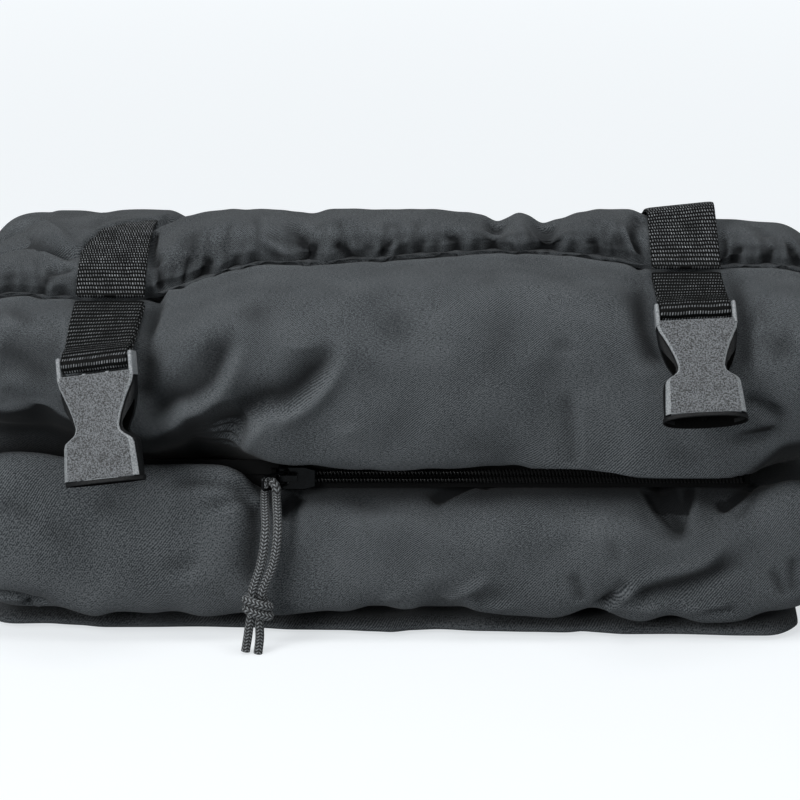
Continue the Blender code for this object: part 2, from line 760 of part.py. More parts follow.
def make_long_strap(name, x_strap, skins):
    """Webbing from the seam over the top and down the back, round the plug buckle's bar."""
    half = WEBBING_WIDTH / 2
    cloud = []
    for x in (x_strap - half, x_strap - half / 2, x_strap, x_strap + half / 2, x_strap + half):
        rear = section_at(x, upper_section, LAYER_PLACES, LAYER_STEPS)
        cloud += [p for p in flat(rear) if p.x > BAND_BACK - 0.004 and p.y > UPPER_BOTTOM + 0.02]
        low_place, high_place = neighbour_places(x)
        share = (x - low_place) / (high_place - low_place)
        pairs = zip(band_outline(low_place), band_outline(high_place))
        cloud += flat([a.lerp(b, share) for a, b in pairs][BAND_STEPS:])
    seam_z = max(p.y for p in cloud if p.x < SEAM_Y + 0.0005)
    start = Vector((SEAM_Y - 0.0003, seam_z - 0.0002))
    top = max(p.y for p in cloud)
    rearmost = max(p.x for p in cloud)
    end = Vector((rearmost, top - REAR_STRAP_DROP))
    chain = [start]
    for p in upper_hull(cloud + [start, end], start, end):
        chain.append(p)
    route = relax(resample(chain, 0.0040), 1)
    first_ply = STRAP_LIFT + WEBBING / 2
    second_ply = first_ply + WEBBING + PLY_GAP
    turn = BAR_RADIUS + CLEARANCE + WEBBING / 2
    bar_rest = turn + WEBBING / 2 + REAR_TURN_GAP
    bar = Vector((x_strap, route[-1].x + bar_rest, route[-1].y - 0.0035))
    heading = Vector((0, 0, -1))
    outward = Vector((0, 1, 0))
    outer = []
    inner = []
    total = len(route)
    for i, place in enumerate(route):
        along = (route[min(i + 1, total - 1)] - route[max(i - 1, 0)]).normalized()
        normal = Vector((0, -along.y, along.x))
        point = Vector((x_strap, place.x, place.y))
        distance = (bar - point).length
        doubled = 1.0 - smooth_step(distance, STRAP_TAIL + 0.004, STRAP_TAIL + 0.014)
        opened = (bar_rest + turn - second_ply) * (1.0 - smooth_step(distance, 0.004, 0.014))
        outer.append(point + normal * (first_ply + (second_ply - first_ply) * doubled + opened))
        inner.append(point + normal * first_ply)
    arc = []
    for i in range(9):
        t = math.pi * i / 8
        arc.append(bar + (outward * math.cos(t) + heading * math.sin(t)) * turn)
    tail_points = []
    tail = 0.0
    for a, b in zip(reversed(inner), list(reversed(inner))[1:]):
        if tail > STRAP_TAIL:
            break
        tail_points.append(a)
        tail += (b - a).length
    route_3d = outer + arc + tail_points
    bm = ribbon(route_3d, [Vector((1, 0, 0))] * len(route_3d), WEBBING, WEBBING_WIDTH)
    add_object(name, bm, skins["webbing"], smooth_angle=60)
    return bar


def neighbour_places(x):
    places = band_places()
    for low, high in zip(places, places[1:]):
        if x <= high:
            return low, high
    return places[-2], places[-1]


def upper_hull(points, start, end):
    """Corners of the convex outline from start, over the top, to end."""
    ordered = sorted({(round(p.x, 6), round(p.y, 6)) for p in points})
    points = [Vector(p) for p in ordered]
    middle = Vector((sum(p.x for p in points) / len(points), min(p.y for p in points)))
    hull = []
    for p in sorted(points, key=lambda q: (q.x, q.y)):
        while len(hull) > 1 and turn_of(hull[-2], hull[-1], p) >= 0:
            hull.pop()
        hull.append(p)
    beyond = [p for p in hull if p.x > start.x + 1e-5 and p.y > middle.y]
    if (beyond[-1] - end).length > 1e-5:
        beyond.append(end)
    return beyond


def tube_object(name, points, radius, material, closed=False, resolution=2):
    """Curve with a round bevel and filled caps along the given points."""
    curve = bpy.data.curves.new(name, "CURVE")
    curve.dimensions = "3D"
    curve.bevel_depth = radius
    curve.bevel_resolution = resolution
    curve.use_fill_caps = True
    spline = curve.splines.new("POLY")
    spline.points.add(len(points) - 1)
    for slot, point in zip(spline.points, points):
        slot.co = (point.x, point.y, point.z, 1.0)
    spline.use_cyclic_u = closed
    spline.use_smooth = True
    curve.materials.append(material)
    obj = bpy.data.objects.new(name, curve)
    bpy.context.scene.collection.objects.link(obj)
    return obj


def smooth_route(points, spacing):
    """Evenly spaced points on a Catmull-Rom curve through the given ones."""
    padded = [points[0] * 2 - points[1]] + points + [points[-1] * 2 - points[-2]]
    dense = []
    for a, b, c, d in zip(padded, padded[1:], padded[2:], padded[3:]):
        for i in range(12):
            t = i / 12
            dense.append(0.5 * ((2 * b) + (c - a) * t + (2 * a - 5 * b + 4 * c - d) * t * t
                                + (3 * b - a - 3 * c + d) * t ** 3))
    dense.append(points[-1])
    return resample(dense, spacing)


def zip_levels():
    middle = (LOWER_TOP + UPPER_BOTTOM) / 2
    centre = COIL_RADIUS + COIL_GAP / 2
    return middle, middle - centre, middle + centre


def make_zip(skins):
    middle, low_coil, high_coil = zip_levels()
    tape_front = ZIP_Y - TAPE_THICKNESS / 2
    tape_back = ZIP_Y + TAPE_THICKNESS / 2
    coil_y = tape_front - CLEARANCE - COIL_RADIUS
    for name, near, far in (("lower_zip_tape", middle - COIL_GAP, middle - COIL_GAP - LOWER_TAPE_WIDTH),
                            ("upper_zip_tape", middle + COIL_GAP, middle + COIL_GAP + UPPER_TAPE_WIDTH)):
        low = (TAPE_LEFT, tape_front, min(near, far))
        high = (CHAIN_RIGHT + STOP_LENGTH, tape_back, max(near, far))
        add_object(name, block(low, high), skins["zip"])
    for name, z in (("lower_zip_coil", low_coil), ("upper_zip_coil", high_coil)):
        add_object(name, rod((CHAIN_LEFT, coil_y, z), (CHAIN_RIGHT, coil_y, z), COIL_RADIUS, 12), skins["zip"])
    reach = COIL_RADIUS * 2 + 0.0004
    for name, left in (("zip_top_stop", CHAIN_LEFT - CLEARANCE - STOP_LENGTH),
                       ("zip_bottom_stop", CHAIN_RIGHT + CLEARANCE)):
        low = (left, coil_y - COIL_RADIUS, middle - reach)
        high = (left + STOP_LENGTH, tape_front - CLEARANCE, middle + reach)
        add_object(name, block(low, high, 0.0003), skins["metal"])
    return coil_y, middle


def make_slider(coil_y, middle, skins):
    """Face plate with two side flanges that hold the coils, and a bridge for the bail."""
    inner_face = coil_y - COIL_RADIUS - SLIDER_RUN
    outer_face = inner_face - SLIDER_PLATE
    left = SLIDER_LEFT
    right = SLIDER_LEFT + SLIDER_LENGTH
    half = SLIDER_TALL / 2
    flange = 0.0010
    outline = [(left, middle - half), (right - 0.004, middle - half), (right, middle - half * 0.74),
               (right, middle + half * 0.74), (right - 0.004, middle + half), (left, middle + half)]
    origin = Vector((SLIDER_LEFT, coil_y, middle))
    body = add_object("zip_slider", extruded(outline, outer_face, inner_face, 0.0003), skins["metal"], origin)
    for side in (-1, 1):
        zs = sorted((middle + side * half, middle + side * (half - flange)))
        low = (left + 0.0002, inner_face - 0.0005, zs[0])
        high = (right - 0.0042, coil_y + COIL_RADIUS * 0.6, zs[1])
        piece = add_object("slider_flange_low" if side < 0 else "slider_flange_high",
                           block(low, high, 0.0002), skins["metal"])
        combine(body, piece, "UNION")
    bail_y = outer_face - WIRE_RADIUS - 0.0003
    top = bail_y - WIRE_RADIUS - 0.0003
    bridge_half = BAIL_WIDTH / 2 - WIRE_RADIUS - 0.0006
    arch_z = middle + BAIL_LIFT
    span = 0.0034
    arch_low = (BAIL_X - span, top - 0.0010, arch_z - bridge_half)
    arch_high = (BAIL_X + span, outer_face + 0.0005, arch_z + bridge_half)
    arch = add_object("slider_bridge", block(arch_low, arch_high, 0.0003), skins["metal"])
    gap_low = (BAIL_X - WIRE_RADIUS - 0.0004, top, arch_z - 0.01)
    gap_high = (BAIL_X + WIRE_RADIUS + 0.0004, outer_face, arch_z + 0.01)
    gap = add_object("slider_bridge_gap", block(gap_low, gap_high), skins["metal"])
    combine(arch, gap, "DIFFERENCE")
    combine(body, arch, "UNION")
    return Vector((BAIL_X, bail_y, arch_z))


def bail_direction():
    return Vector((-math.cos(BAIL_TURN), -math.sin(BAIL_TURN), 0.0))


def make_bail(pivot, skins):
    """Closed wire loop: one side under the bridge, the other out in front."""
    out = bail_direction()
    corner = 0.0012
    half = BAIL_WIDTH / 2
    corners = [(0.0, -half), (BAIL_LENGTH, -half), (BAIL_LENGTH, half), (0.0, half)]
    points = []
    for i, (u, v) in enumerate(corners):
        before = corners[i - 1]
        after = corners[(i + 1) % 4]
        here = Vector((u, v))
        into = (here - Vector(before)).normalized()
        away = (Vector(after) - here).normalized()
        centre = here - into * corner + away * corner
        for k in range(4):
            t = math.pi / 2 * k / 3
            spot = centre + into * (corner * math.sin(t)) - away * (corner * math.cos(t))
            points.append(pivot + out * spot.x + Vector((0, 0, spot.y)))
    obj = tube_object("zip_bail", [p - pivot for p in points], WIRE_RADIUS, skins["metal"], True)
    obj.location = pivot
    return obj


def cord_eye(pivot):
    """Where the cord turns over the bail's lower wire, and the directions of that turn."""
    out = bail_direction()
    wire = pivot + out * (BAIL_LENGTH * EYE_SHARE) + Vector((0, 0, -BAIL_WIDTH / 2))
    across = Vector((-out.y, out.x, 0.0))
    return wire, across


def make_cord(pivot, skins):
    wire, across = cord_eye(pivot)
    turn = CORD_RADIUS + WIRE_RADIUS + 0.0003
    eye = [wire + across * (turn * math.cos(t)) + Vector((0, 0, turn * math.sin(t)))
           for t in (math.pi * i / 6 for i in range(7))]
    if across.y > 0:
        eye.reverse()
    near = eye[0]
    far = eye[-1]
    knot_top = KNOT_AT + Vector((0, 0, KNOT_HEIGHT / 2 + KNOT_GAP))
    side = Vector((CORD_RADIUS + CLEARANCE, 0, 0))
    shoulder = Vector((-0.0462, -0.0886, 0.0440))
    belly = Vector((-0.0478, -0.0915, 0.0330))
    near_run = [near + Vector((0, -0.0003, -0.0030)), shoulder + side * 1.05, belly + side * 1.05, knot_top + side]
    far_run = [knot_top - side, belly - side * 1.05, shoulder - side * 1.05, far + Vector((-0.0006, -0.0012, -0.0034))]
    route = list(reversed(near_run)) + eye + list(reversed(far_run))
    loop = tube_object("pull_cord_loop", [p - wire for p in smooth_route(route, 0.0026)], CORD_RADIUS, skins["cord"])
    loop.location = wire
    knot = bmesh.new()
    bmesh.ops.create_uvsphere(knot, u_segments=16, v_segments=8, radius=0.5)
    bmesh.ops.scale(knot, vec=(KNOT_WIDTH, KNOT_DEPTH, KNOT_HEIGHT), verts=knot.verts)
    for vert in knot.verts:
        vert.co.z = max(min(vert.co.z * 1.25, KNOT_HEIGHT / 2), -KNOT_HEIGHT / 2)
    bmesh.ops.translate(knot, vec=KNOT_AT, verts=knot.verts)
    add_object("pull_cord_knot", knot, skins["cord"], wire)
    under = KNOT_AT - Vector((0.0016, 0, KNOT_HEIGHT / 2 + KNOT_GAP))
    for sign, hand, drop in ((-1, "left", 0.0124), (1, "right", 0.0118)):
        top = under + side * sign
        foot = top + Vector((-0.0012 + 0.0003 * sign, 0.0, -drop))
        middle = (top + foot) / 2 + Vector((-0.0002, 0, 0))
        tail = tube_object("pull_cord_tail_" + hand, [p - wire for p in smooth_route([top, middle, foot], 0.0030)],
                           CORD_RADIUS, skins["cord"])
        tail.location = wire
    return wire


def make_part():
    remove_everything()
    skins = make_materials()
    make_base(skins)
    make_layers(skins)
    make_hem_band(skins)
    coil_y, middle = make_zip(skins)
    pivot = make_slider(coil_y, middle, skins)
    make_bail(pivot, skins)
    make_cord(pivot, skins)
    left_frame = buckle_frame(LEFT_BAR, LEFT_TILT, LEFT_LEAN, LEFT_YAW)
    right_frame = buckle_frame(RIGHT_BAR, RIGHT_TILT, RIGHT_LEAN, 0.0)
    make_female_buckle("left_buckle_socket", left_frame, skins)
    make_female_buckle("right_buckle_socket", right_frame, skins)
    make_short_strap("left_short_strap", LEFT_STRAP_X, LEFT_BAR, left_frame, skins)
    make_short_strap("right_short_strap", RIGHT_STRAP_X, RIGHT_BAR, right_frame, skins)
    for side, x in (("left", LEFT_STRAP_X), ("right", RIGHT_STRAP_X)):
        bar = make_long_strap(side + "_long_strap", x, skins)
        frame = Matrix.Translation(bar) @ Matrix.Rotation(math.pi, 4, "Z")
        make_male_buckle(side, frame, skins)
    bpy.context.view_layer.update()


make_part()
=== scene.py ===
import math
import random

import bmesh
import bpy
import numpy as np
from mathutils import Matrix, Vector, noise
from mathutils.bvhtree import BVHTree


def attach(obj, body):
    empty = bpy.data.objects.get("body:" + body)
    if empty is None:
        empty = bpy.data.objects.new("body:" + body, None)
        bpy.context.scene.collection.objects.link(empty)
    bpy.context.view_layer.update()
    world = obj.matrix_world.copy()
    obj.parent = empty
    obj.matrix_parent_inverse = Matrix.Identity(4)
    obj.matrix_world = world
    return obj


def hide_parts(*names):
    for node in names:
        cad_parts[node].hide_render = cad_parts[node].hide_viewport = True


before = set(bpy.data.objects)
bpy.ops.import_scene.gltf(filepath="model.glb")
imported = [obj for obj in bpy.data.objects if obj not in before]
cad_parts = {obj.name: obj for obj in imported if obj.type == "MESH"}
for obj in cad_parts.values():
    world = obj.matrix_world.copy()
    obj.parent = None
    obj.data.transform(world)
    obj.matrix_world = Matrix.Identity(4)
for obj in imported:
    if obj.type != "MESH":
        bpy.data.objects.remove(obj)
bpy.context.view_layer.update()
scene = bpy.context.scene
random.seed(7)

# camera, 15 degrees above the horizontal

camera = {
    "aim": Vector((0.0, -0.080, 0.091)),
    "distance": 1.25,
    "elevation": math.radians(15),
    "lens": 157,
    "sensor": 36,
}
cameraPlace = camera["aim"] + Vector((
    0.0,
    -math.cos(camera["elevation"]) * camera["distance"],
    math.sin(camera["elevation"]) * camera["distance"],
))
cameraData = bpy.data.cameras.new("camera")
cameraData.lens = camera["lens"]
cameraData.sensor_width = camera["sensor"]
cameraObject = bpy.data.objects.new("camera", cameraData)
cameraObject.location = cameraPlace
cameraObject.rotation_euler = (math.pi / 2 - camera["elevation"], 0.0, 0.0)
scene.collection.objects.link(cameraObject)
scene.camera = cameraObject


def pixelRay(px, py):
    # direction from the camera through a pixel of the 800-pixel photograph
    reach = camera["sensor"] / 2 / camera["lens"]
    local = Vector(((px - 400) / 400 * reach, (400 - py) / 400 * reach, -1.0))
    return (cameraObject.rotation_euler.to_matrix() @ local).normalized()


# small tools for shapes

def mm(value):
    return value / 1000


def smoothStep(value, low, high):
    t = np.clip((np.asarray(value, dtype=float) - low) / (high - low), 0.0, 1.0)
    return t * t * (3.0 - 2.0 * t)


def fade(value, low, high):
    return 1 - smoothStep(value, low, high)


def bell(x, centre, width):
    return np.exp(-((np.asarray(x, dtype=float) - centre) / width) ** 2)


def hump(x, height, centre, width):
    return height * bell(x, centre, width)


def throughValues(x, stops):
    # value at a place, smooth between stops
    x = np.asarray(x, dtype=float)
    value = np.full(x.shape, float(stops[0][1]))
    for (x0, v0), (x1, v1) in zip(stops, stops[1:]):
        value = value + (v1 - v0) * smoothStep(x, x0, x1)
    return value


def rippleNoise(points, seed):
    # smooth noise from -1 to 1 at each row of an array of points
    shift = Vector((seed * 3.7, seed * 1.3, seed * 2.1))
    return np.array([noise.noise(Vector(p) + shift) for p in points])


def runLengths(path):
    return [0.0, *np.cumsum([(after - before).length for before, after in zip(path, path[1:])])]


def smoothPath(points, spacing):
    # evenly spaced points along a smooth curve through the given ones
    points = [Vector(p) for p in points]
    fine = []
    for i in range(len(points) - 1):
        a = points[max(i - 1, 0)]
        b = points[i]
        c = points[i + 1]
        d = points[min(i + 2, len(points) - 1)]
        for k in range(12):
            t = k / 12
            fine.append(0.5 * ((2 * b) + (c - a) * t + (2 * a - 5 * b + 4 * c - d) * t * t
                               + (3 * b - 3 * c + d - a) * t * t * t))
    fine.append(points[-1])
    lengths = runLengths(fine)
    count = max(int(round(lengths[-1] / spacing)), 2)
    wanted = np.linspace(0.0, lengths[-1], count + 1)
    columns = [np.interp(wanted, lengths, [p[k] for p in fine]) for k in range(len(fine[0]))]
    return [Vector(p) for p in zip(*columns)]


def linkMesh(name, bm, material=None):
    mesh = bpy.data.meshes.new(name)
    bm.to_mesh(mesh)
    bm.free()
    obj = bpy.data.objects.new(name, mesh)
    scene.collection.objects.link(obj)
    smoothFaces(mesh)
    if material:
        mesh.materials.append(material)
    return obj


def closeUp(bm):
    bmesh.ops.holes_fill(bm, edges=[edge for edge in bm.edges if edge.is_boundary])
    bmesh.ops.recalc_face_normals(bm, faces=bm.faces)


def thicken(bm, step):
    # gives the open faces a body, by a copy of them moved by a step
    grown = bmesh.ops.extrude_face_region(bm, geom=bm.faces[:], use_keep_orig=True)["geom"]
    bmesh.ops.translate(bm, vec=step, verts=[part for part in grown if isinstance(part, bmesh.types.BMVert)])
    bmesh.ops.recalc_face_normals(bm, faces=bm.faces)


def meshPoints(mesh):
    co = np.empty(len(mesh.vertices) * 3)
    mesh.vertices.foreach_get("co", co)
    return co.reshape(-1, 3)


def setMeshPoints(mesh, co):
    mesh.vertices.foreach_set("co", np.ascontiguousarray(co).ravel())
    mesh.update()


def meshNormals(mesh):
    normals = np.empty(len(mesh.vertices) * 3)
    mesh.vertex_normals.foreach_get("vector", normals)
    return normals.reshape(-1, 3)


def smoothFaces(mesh):
    for polygon in mesh.polygons:
        polygon.use_smooth = True


def applyModifiers(obj):
    evaluated = obj.evaluated_get(bpy.context.evaluated_depsgraph_get())
    old = obj.data
    mesh = bpy.data.meshes.new_from_object(evaluated)
    obj.modifiers.clear()
    obj.data = mesh
    bpy.data.meshes.remove(old)


def stand(obj, body, slot, *nodes):
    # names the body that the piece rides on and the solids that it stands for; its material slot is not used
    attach(obj, body)
    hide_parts(*nodes)


def paintShade(mesh, amount):
    # adds to the painted shade stored on the mesh: above 0 darkens it as painted shade in valleys and creases,
    # below 0 lightens it as painted light on ridges and rims
    layer = mesh.attributes.get("paintedShadeAndLight") or mesh.attributes.new("paintedShadeAndLight", "FLOAT", "POINT")
    values = np.zeros(len(mesh.vertices))
    layer.data.foreach_get("value", values)
    layer.data.foreach_set("value", np.ascontiguousarray(values + amount))


# small tools for materials

def linear(code):
    # linear colour from a six-digit sRGB code
    values = []
    for i in (0, 2, 4):
        v = int(code[i:i + 2], 16) / 255
        values.append(v / 12.92 if v <= 0.04045 else ((v + 0.055) / 1.055) ** 2.4)
    return (*values, 1.0)


def startMaterial(name):
    material = bpy.data.materials.new(name)
    material.use_nodes = True
    tree = material.node_tree
    tree.nodes.clear()
    output = tree.nodes.new("ShaderNodeOutputMaterial")
    shader = tree.nodes.new("ShaderNodeBsdfPrincipled")
    tree.links.new(shader.outputs[0], output.inputs["Surface"])
    return material, tree


def setInput(tree, socket, value):
    # an input is a colour code, a plain value or the output that feeds it
    if isinstance(value, (Signal, bpy.types.NodeSocket)):
        tree.links.new(getattr(value, "socket", value), socket)
    else:
        socket.default_value = linear(value) if isinstance(value, str) else value


def addNode(tree, kind, inputs=None, **settings):
    node = tree.nodes.new("ShaderNode" + kind)
    for key, value in settings.items():
        setattr(node, key, value)
    for key, value in (inputs or {}).items():
        setInput(tree, node.inputs[key], value)
    return node


class Signal:
    # a node's output, so that a material can be written as sums and products
    def __init__(self, tree, socket):
        self.tree = tree
        self.socket = socket

    def reckon(self, operation, other=0.0):
        node = addNode(self.tree, "Math", {0: self, 1: other}, operation=operation)
        return Signal(self.tree, node.outputs[0])

    def __add__(self, other):
        return self.reckon("ADD", other)

    def __sub__(self, other):
        return self.reckon("SUBTRACT", other)

    def __mul__(self, other):
        return self.reckon("MULTIPLY", other)

    def wave(self, pitch):
        return (self * (2 * math.pi / pitch)).reckon("SINE")

    def span(self, low, high, newLow=0.0, newHigh=1.0):
        # stretches low to high over the new range, and holds it there
        node = addNode(self.tree, "MapRange", {"Value": self, "From Min": low, "From Max": high,
                                               "To Min": newLow, "To Max": newHigh})
        return Signal(self.tree, node.outputs[0])


def clothPlace(tree):
    # the cloth's own UV in metres, whole and by its parts
    uv = addNode(tree, "UVMap", uv_map="cloth").outputs[0]
    split = addNode(tree, "SeparateXYZ", {0: uv})
    return uv, Signal(tree, split.outputs[0]), Signal(tree, split.outputs[1])


def objectPlace(tree):
    place = addNode(tree, "TexCoord").outputs["Object"]
    split = addNode(tree, "SeparateXYZ", {0: place})
    return (place, *(Signal(tree, part) for part in split.outputs))


def stretched(tree, place, alongU, alongV):
    return addNode(tree, "Mapping", {"Vector": place, "Scale": (alongU, alongV, 1.0)}).outputs[0]


def noiseAt(tree, place, scale, detail=2.0, **more):
    return Signal(tree, addNode(tree, "TexNoise", {"Vector": place, "Scale": scale, "Detail": detail,
                                                   **more}).outputs[0])


def mixColours(tree, factor, a, b):
    return addNode(tree, "Mix", {0: factor, 6: a, 7: b}, data_type="RGBA").outputs[2]


def finishShader(material, colour, roughness, height=None, depth=0.0001, strength=1.0, **values):
    tree = material.node_tree
    shader = tree.nodes["Principled BSDF"]
    if height is not None:
        lump = addNode(tree, "Bump", {"Height": height, "Distance": depth, "Strength": strength})
        tree.links.new(lump.outputs[0], shader.inputs["Normal"])
    for name, value in {"Base_Color": colour, "Roughness": roughness, **values}.items():
        setInput(tree, shader.inputs[name.replace("_", " ")], value)
    return material


twill = {
    "dark": "2b2f32",
    "light": "5e6265",
    # near-black colour of the painted shade in folds and creases
    "paintedShadeColour": "0b0d0f",
    "pitch": 0.00082,
    "yarn": 0.00042,
}


def makeTwill(name):
    # soft brushed twill: fine diagonal lines, uneven yarns and faint cloudy fading; painted shade
    # darkens the folds and creases, and painted light lightens the ridges and rims
    material, tree = startMaterial(name)
    uv, u, v = clothPlace(tree)
    slant = u * 0.80 - v + noiseAt(tree, uv, 55.0) * 0.0035
    wale = slant.wave(twill["pitch"])
    plain = u.wave(twill["yarn"]) * v.wave(twill["yarn"])
    slub = noiseAt(tree, stretched(tree, uv, 800.0, 3600.0), 1.0)
    fibre = noiseAt(tree, uv, 2500.0)
    cloud = noiseAt(tree, uv, 36.0, 5.0, Roughness=0.6)
    lines = wale * noiseAt(tree, uv, 24.0).span(0.40, 0.62, 0.15, 0.80)
    # the painted shade and light stored on the mesh: above 0 darkens towards the near-black, below 0 lightens the
    # tone
    paintedShadeAndLight = Signal(tree, addNode(tree, "Attribute", attribute_name="paintedShadeAndLight").outputs["Fac"])
    tone = lines + plain * 0.10 + slub * 2.5 + fibre * 4.0 + cloud * 1.1 - 3.3 - paintedShadeAndLight.reckon("MINIMUM") * 0.9
    colour = mixColours(tree, tone, twill["dark"], twill["light"])
    colour = mixColours(tree, paintedShadeAndLight.span(0.0, 1.2, 0.0, 0.94), colour, twill["paintedShadeColour"])
    return finishShader(material, colour, fibre.span(0.3, 0.7, 0.85, 0.97), lines + slub * 0.4 + fibre * 0.4,
                        0.00006, 0.6, Sheen_Weight=0.04, Sheen_Roughness=0.5, Specular_IOR_Level=0.15)


def makeWadding(name):
    # carded polyester filling: off-white, fibrous and matt
    material, tree = startMaterial(name)
    place = objectPlace(tree)[0]
    fibres = noiseAt(tree, place, 900.0, 5.0, Distortion=1.5)
    colour = mixColours(tree, fibres, "b9b8b3", "e4e3de")
    return finishShader(material, colour, 0.95, fibres + noiseAt(tree, place, 90.0, 3.0), 0.0006, Sheen_Weight=0.3)


def makeLining(name):
    # plain-woven lining, smoother than the outer cloth
    material, tree = startMaterial(name)
    place, x, y, z = objectPlace(tree)
    weave = x.wave(twill["yarn"]) * y.wave(twill["yarn"])
    colour = mixColours(tree, weave * 0.18 + noiseAt(tree, place, 2600.0), "3f4346", "5b5f62")
    return finishShader(material, colour, 0.7, weave, 0.00008, 0.6, Sheen_Weight=0.1)


webbing = {"width": 0.0250, "thickness": 0.0013, "rib": 0.00208, "dash": 0.00098, "step": 0.00034,
           "columns": 27, "turnAt": 0.47, "edgePower": 14}


def makeWebbing(name):
    # black ribbed webbing: each rib is a row of short yarn floats, their light grey a painted highlight
    material, tree = startMaterial(name)
    uv, u, v = clothPlace(tree)
    sway = noiseAt(tree, uv, 130.0) * 0.0009 + v
    rib = (sway * (2 * math.pi / webbing["rib"])).reckon("COSINE")
    row = (sway * (1 / webbing["rib"]) + 0.5).reckon("FLOOR")
    phase = (v * 0.20 + u) * (1 / webbing["dash"]) + row.reckon("MODULO", 2.0) * 0.18
    yarn = rib.span(-0.10, 0.45) * phase.wave(1.0).span(0.0, 0.62, 0.02, 1.0)
    which = addNode(tree, "CombineXYZ", {0: phase.reckon("FLOOR"), 1: row}).outputs[0]
    each = Signal(tree, addNode(tree, "TexWhiteNoise", {"Vector": which}, noise_dimensions="2D").outputs[0])
    fibre = noiseAt(tree, stretched(tree, uv, 4200.0, 1300.0), 1.0, 3.0)
    lit = yarn * noiseAt(tree, uv, 160.0, 1.0).span(0.25, 0.75, 0.40, 1.05)
    lit = lit * each.span(0.0, 1.0, 0.55, 1.2) * fibre.span(0.3, 0.75, 0.6, 1.25)
    colour = mixColours(tree, lit, "020303", "969a9d")
    return finishShader(material, colour, fibre.span(0.3, 0.7, 0.60, 0.80), yarn + fibre * 0.25, 0.00020,
                        Specular_IOR_Level=0.14)


def makeAcetal(name, dark, light, contrast, roughness, gloss=0.45):
    # moulded acetal; a spark-eroded mould leaves it speckled
    material, tree = startMaterial(name)
    place = objectPlace(tree)[0]
    grain = noiseAt(tree, place, 1900.0, 1.0)
    tone = grain * 0.9 + noiseAt(tree, place, 180.0, 3.0) * 0.1
    colour = mixColours(tree, tone.span(0.5 - contrast, 0.5 + contrast), dark, light)
    return finishShader(material, colour, grain.span(0.3, 0.7, *roughness),
                        grain + noiseAt(tree, place, 3300.0) * 0.6, 0.00020, 0.9, Specular_IOR_Level=gloss)


def makeTape(name):
    # knitted zip tape: fine lengthwise cords; black, darkened to near black as painted shade in the crease
    material, tree = startMaterial(name)
    place, x, y, z = objectPlace(tree)
    tone = z.wave(0.0006) * x.wave(0.0005) * 0.25 + noiseAt(tree, place, 3000.0)
    colour = mixColours(tree, tone, "020303", "090a0b")
    return finishShader(material, colour, 0.9, tone, 0.0001, 0.8, Specular_IOR_Level=0.2)


def makeCoil(name):
    # nylon coil filament, slightly glossy near the slider and duller to the right; black, darkened to near black as
    # painted shade in the crease
    material, tree = startMaterial(name)
    place, x, y, z = objectPlace(tree)
    fleck = noiseAt(tree, place, 2400.0)
    colour = mixColours(tree, fleck, "020303", "090a0b")
    return finishShader(material, colour, x.span(0.022, 0.036, 0.32, 0.95), fleck, 0.00003, 0.4,
                        Specular_IOR_Level=0.40)


def makeMetal(name):
    # blackened die-cast zinc, polished where it is touched
    material, tree = startMaterial(name)
    place = objectPlace(tree)[0]
    cast = noiseAt(tree, place, 700.0, 4.0)
    colour = mixColours(tree, cast, "060708", "1b1d1f")
    return finishShader(material, colour, cast.span(0.3, 0.7, 0.14, 0.30), noiseAt(tree, place, 4200.0),
                        0.00003, 0.4, Metallic=0.8, Specular_IOR_Level=0.6)


braid = {"columns": 8.0, "pitch": 0.00125}


def makeBraid(name):
    # braided cord sheath: plump yarn bundles in columns that lean left and right by turns, with a painted highlight
    # on each bundle and painted shade between the columns
    material, tree = startMaterial(name)
    uv, u, v = clothPlace(tree)
    around = u * braid["columns"]
    within = around.reckon("FRACT")
    slant = (around.reckon("FLOOR").reckon("MODULO", 2.0) - within).reckon("ABSOLUTE")
    stroke = (v * (1 / braid["pitch"]) + slant * 0.8).wave(1.0)
    bundle = stroke.span(-0.40, 0.55) * within.wave(2.0).span(0.15, 0.75, 0.15, 1.0)
    fibre = noiseAt(tree, stretched(tree, uv, 40.0, 2600.0), 1.0, 3.0)
    colour = mixColours(tree, bundle * fibre.span(0.3, 0.7, 0.55, 1.15), "0d0f10", "8d9295")
    return finishShader(material, colour, 0.72, fibre * 0.2 + bundle, 0.00025, Sheen_Weight=0.1)


materials = {
    "twill": makeTwill("charcoal brushed twill, woven"),
    "wadding": makeWadding("polyester wadding, carded"),
    "lining": makeLining("plain lining, woven"),
    "webbing": makeWebbing("black webbing, woven"),
    "acetal": makeAcetal("dark acetal, moulded with grain", "0e1113", "6d7175", 0.12, (0.40, 0.62)),
    # lit and shaded copies of the acetal: painted shade on the plain sides, painted highlight on the edges,
    # near-black painted shade inside and in the crease
    "acetalShade": makeAcetal("dark acetal, plain, darkened as painted shade", "090a0b", "1b1d1f", 0.20, (0.45, 0.60), 0.20),
    "acetalHighlight": makeAcetal("dark acetal, lightened as painted highlight", "6a6f72", "a4a8ab", 0.20, (0.30, 0.45)),
    "acetalDeepShade": makeAcetal("dark acetal, near black as painted shade", "020202", "060707", 0.20, (0.80, 0.90),
                               0.10),
    "tape": makeTape("zip tape, knitted"),
    "coil": makeCoil("nylon coil, extruded"),
    "metal": makeMetal("blackened zinc, die-cast"),
    "braid": makeBraid("dark cord, braided"),
}
print("materials made")

# floor, lights and surroundings

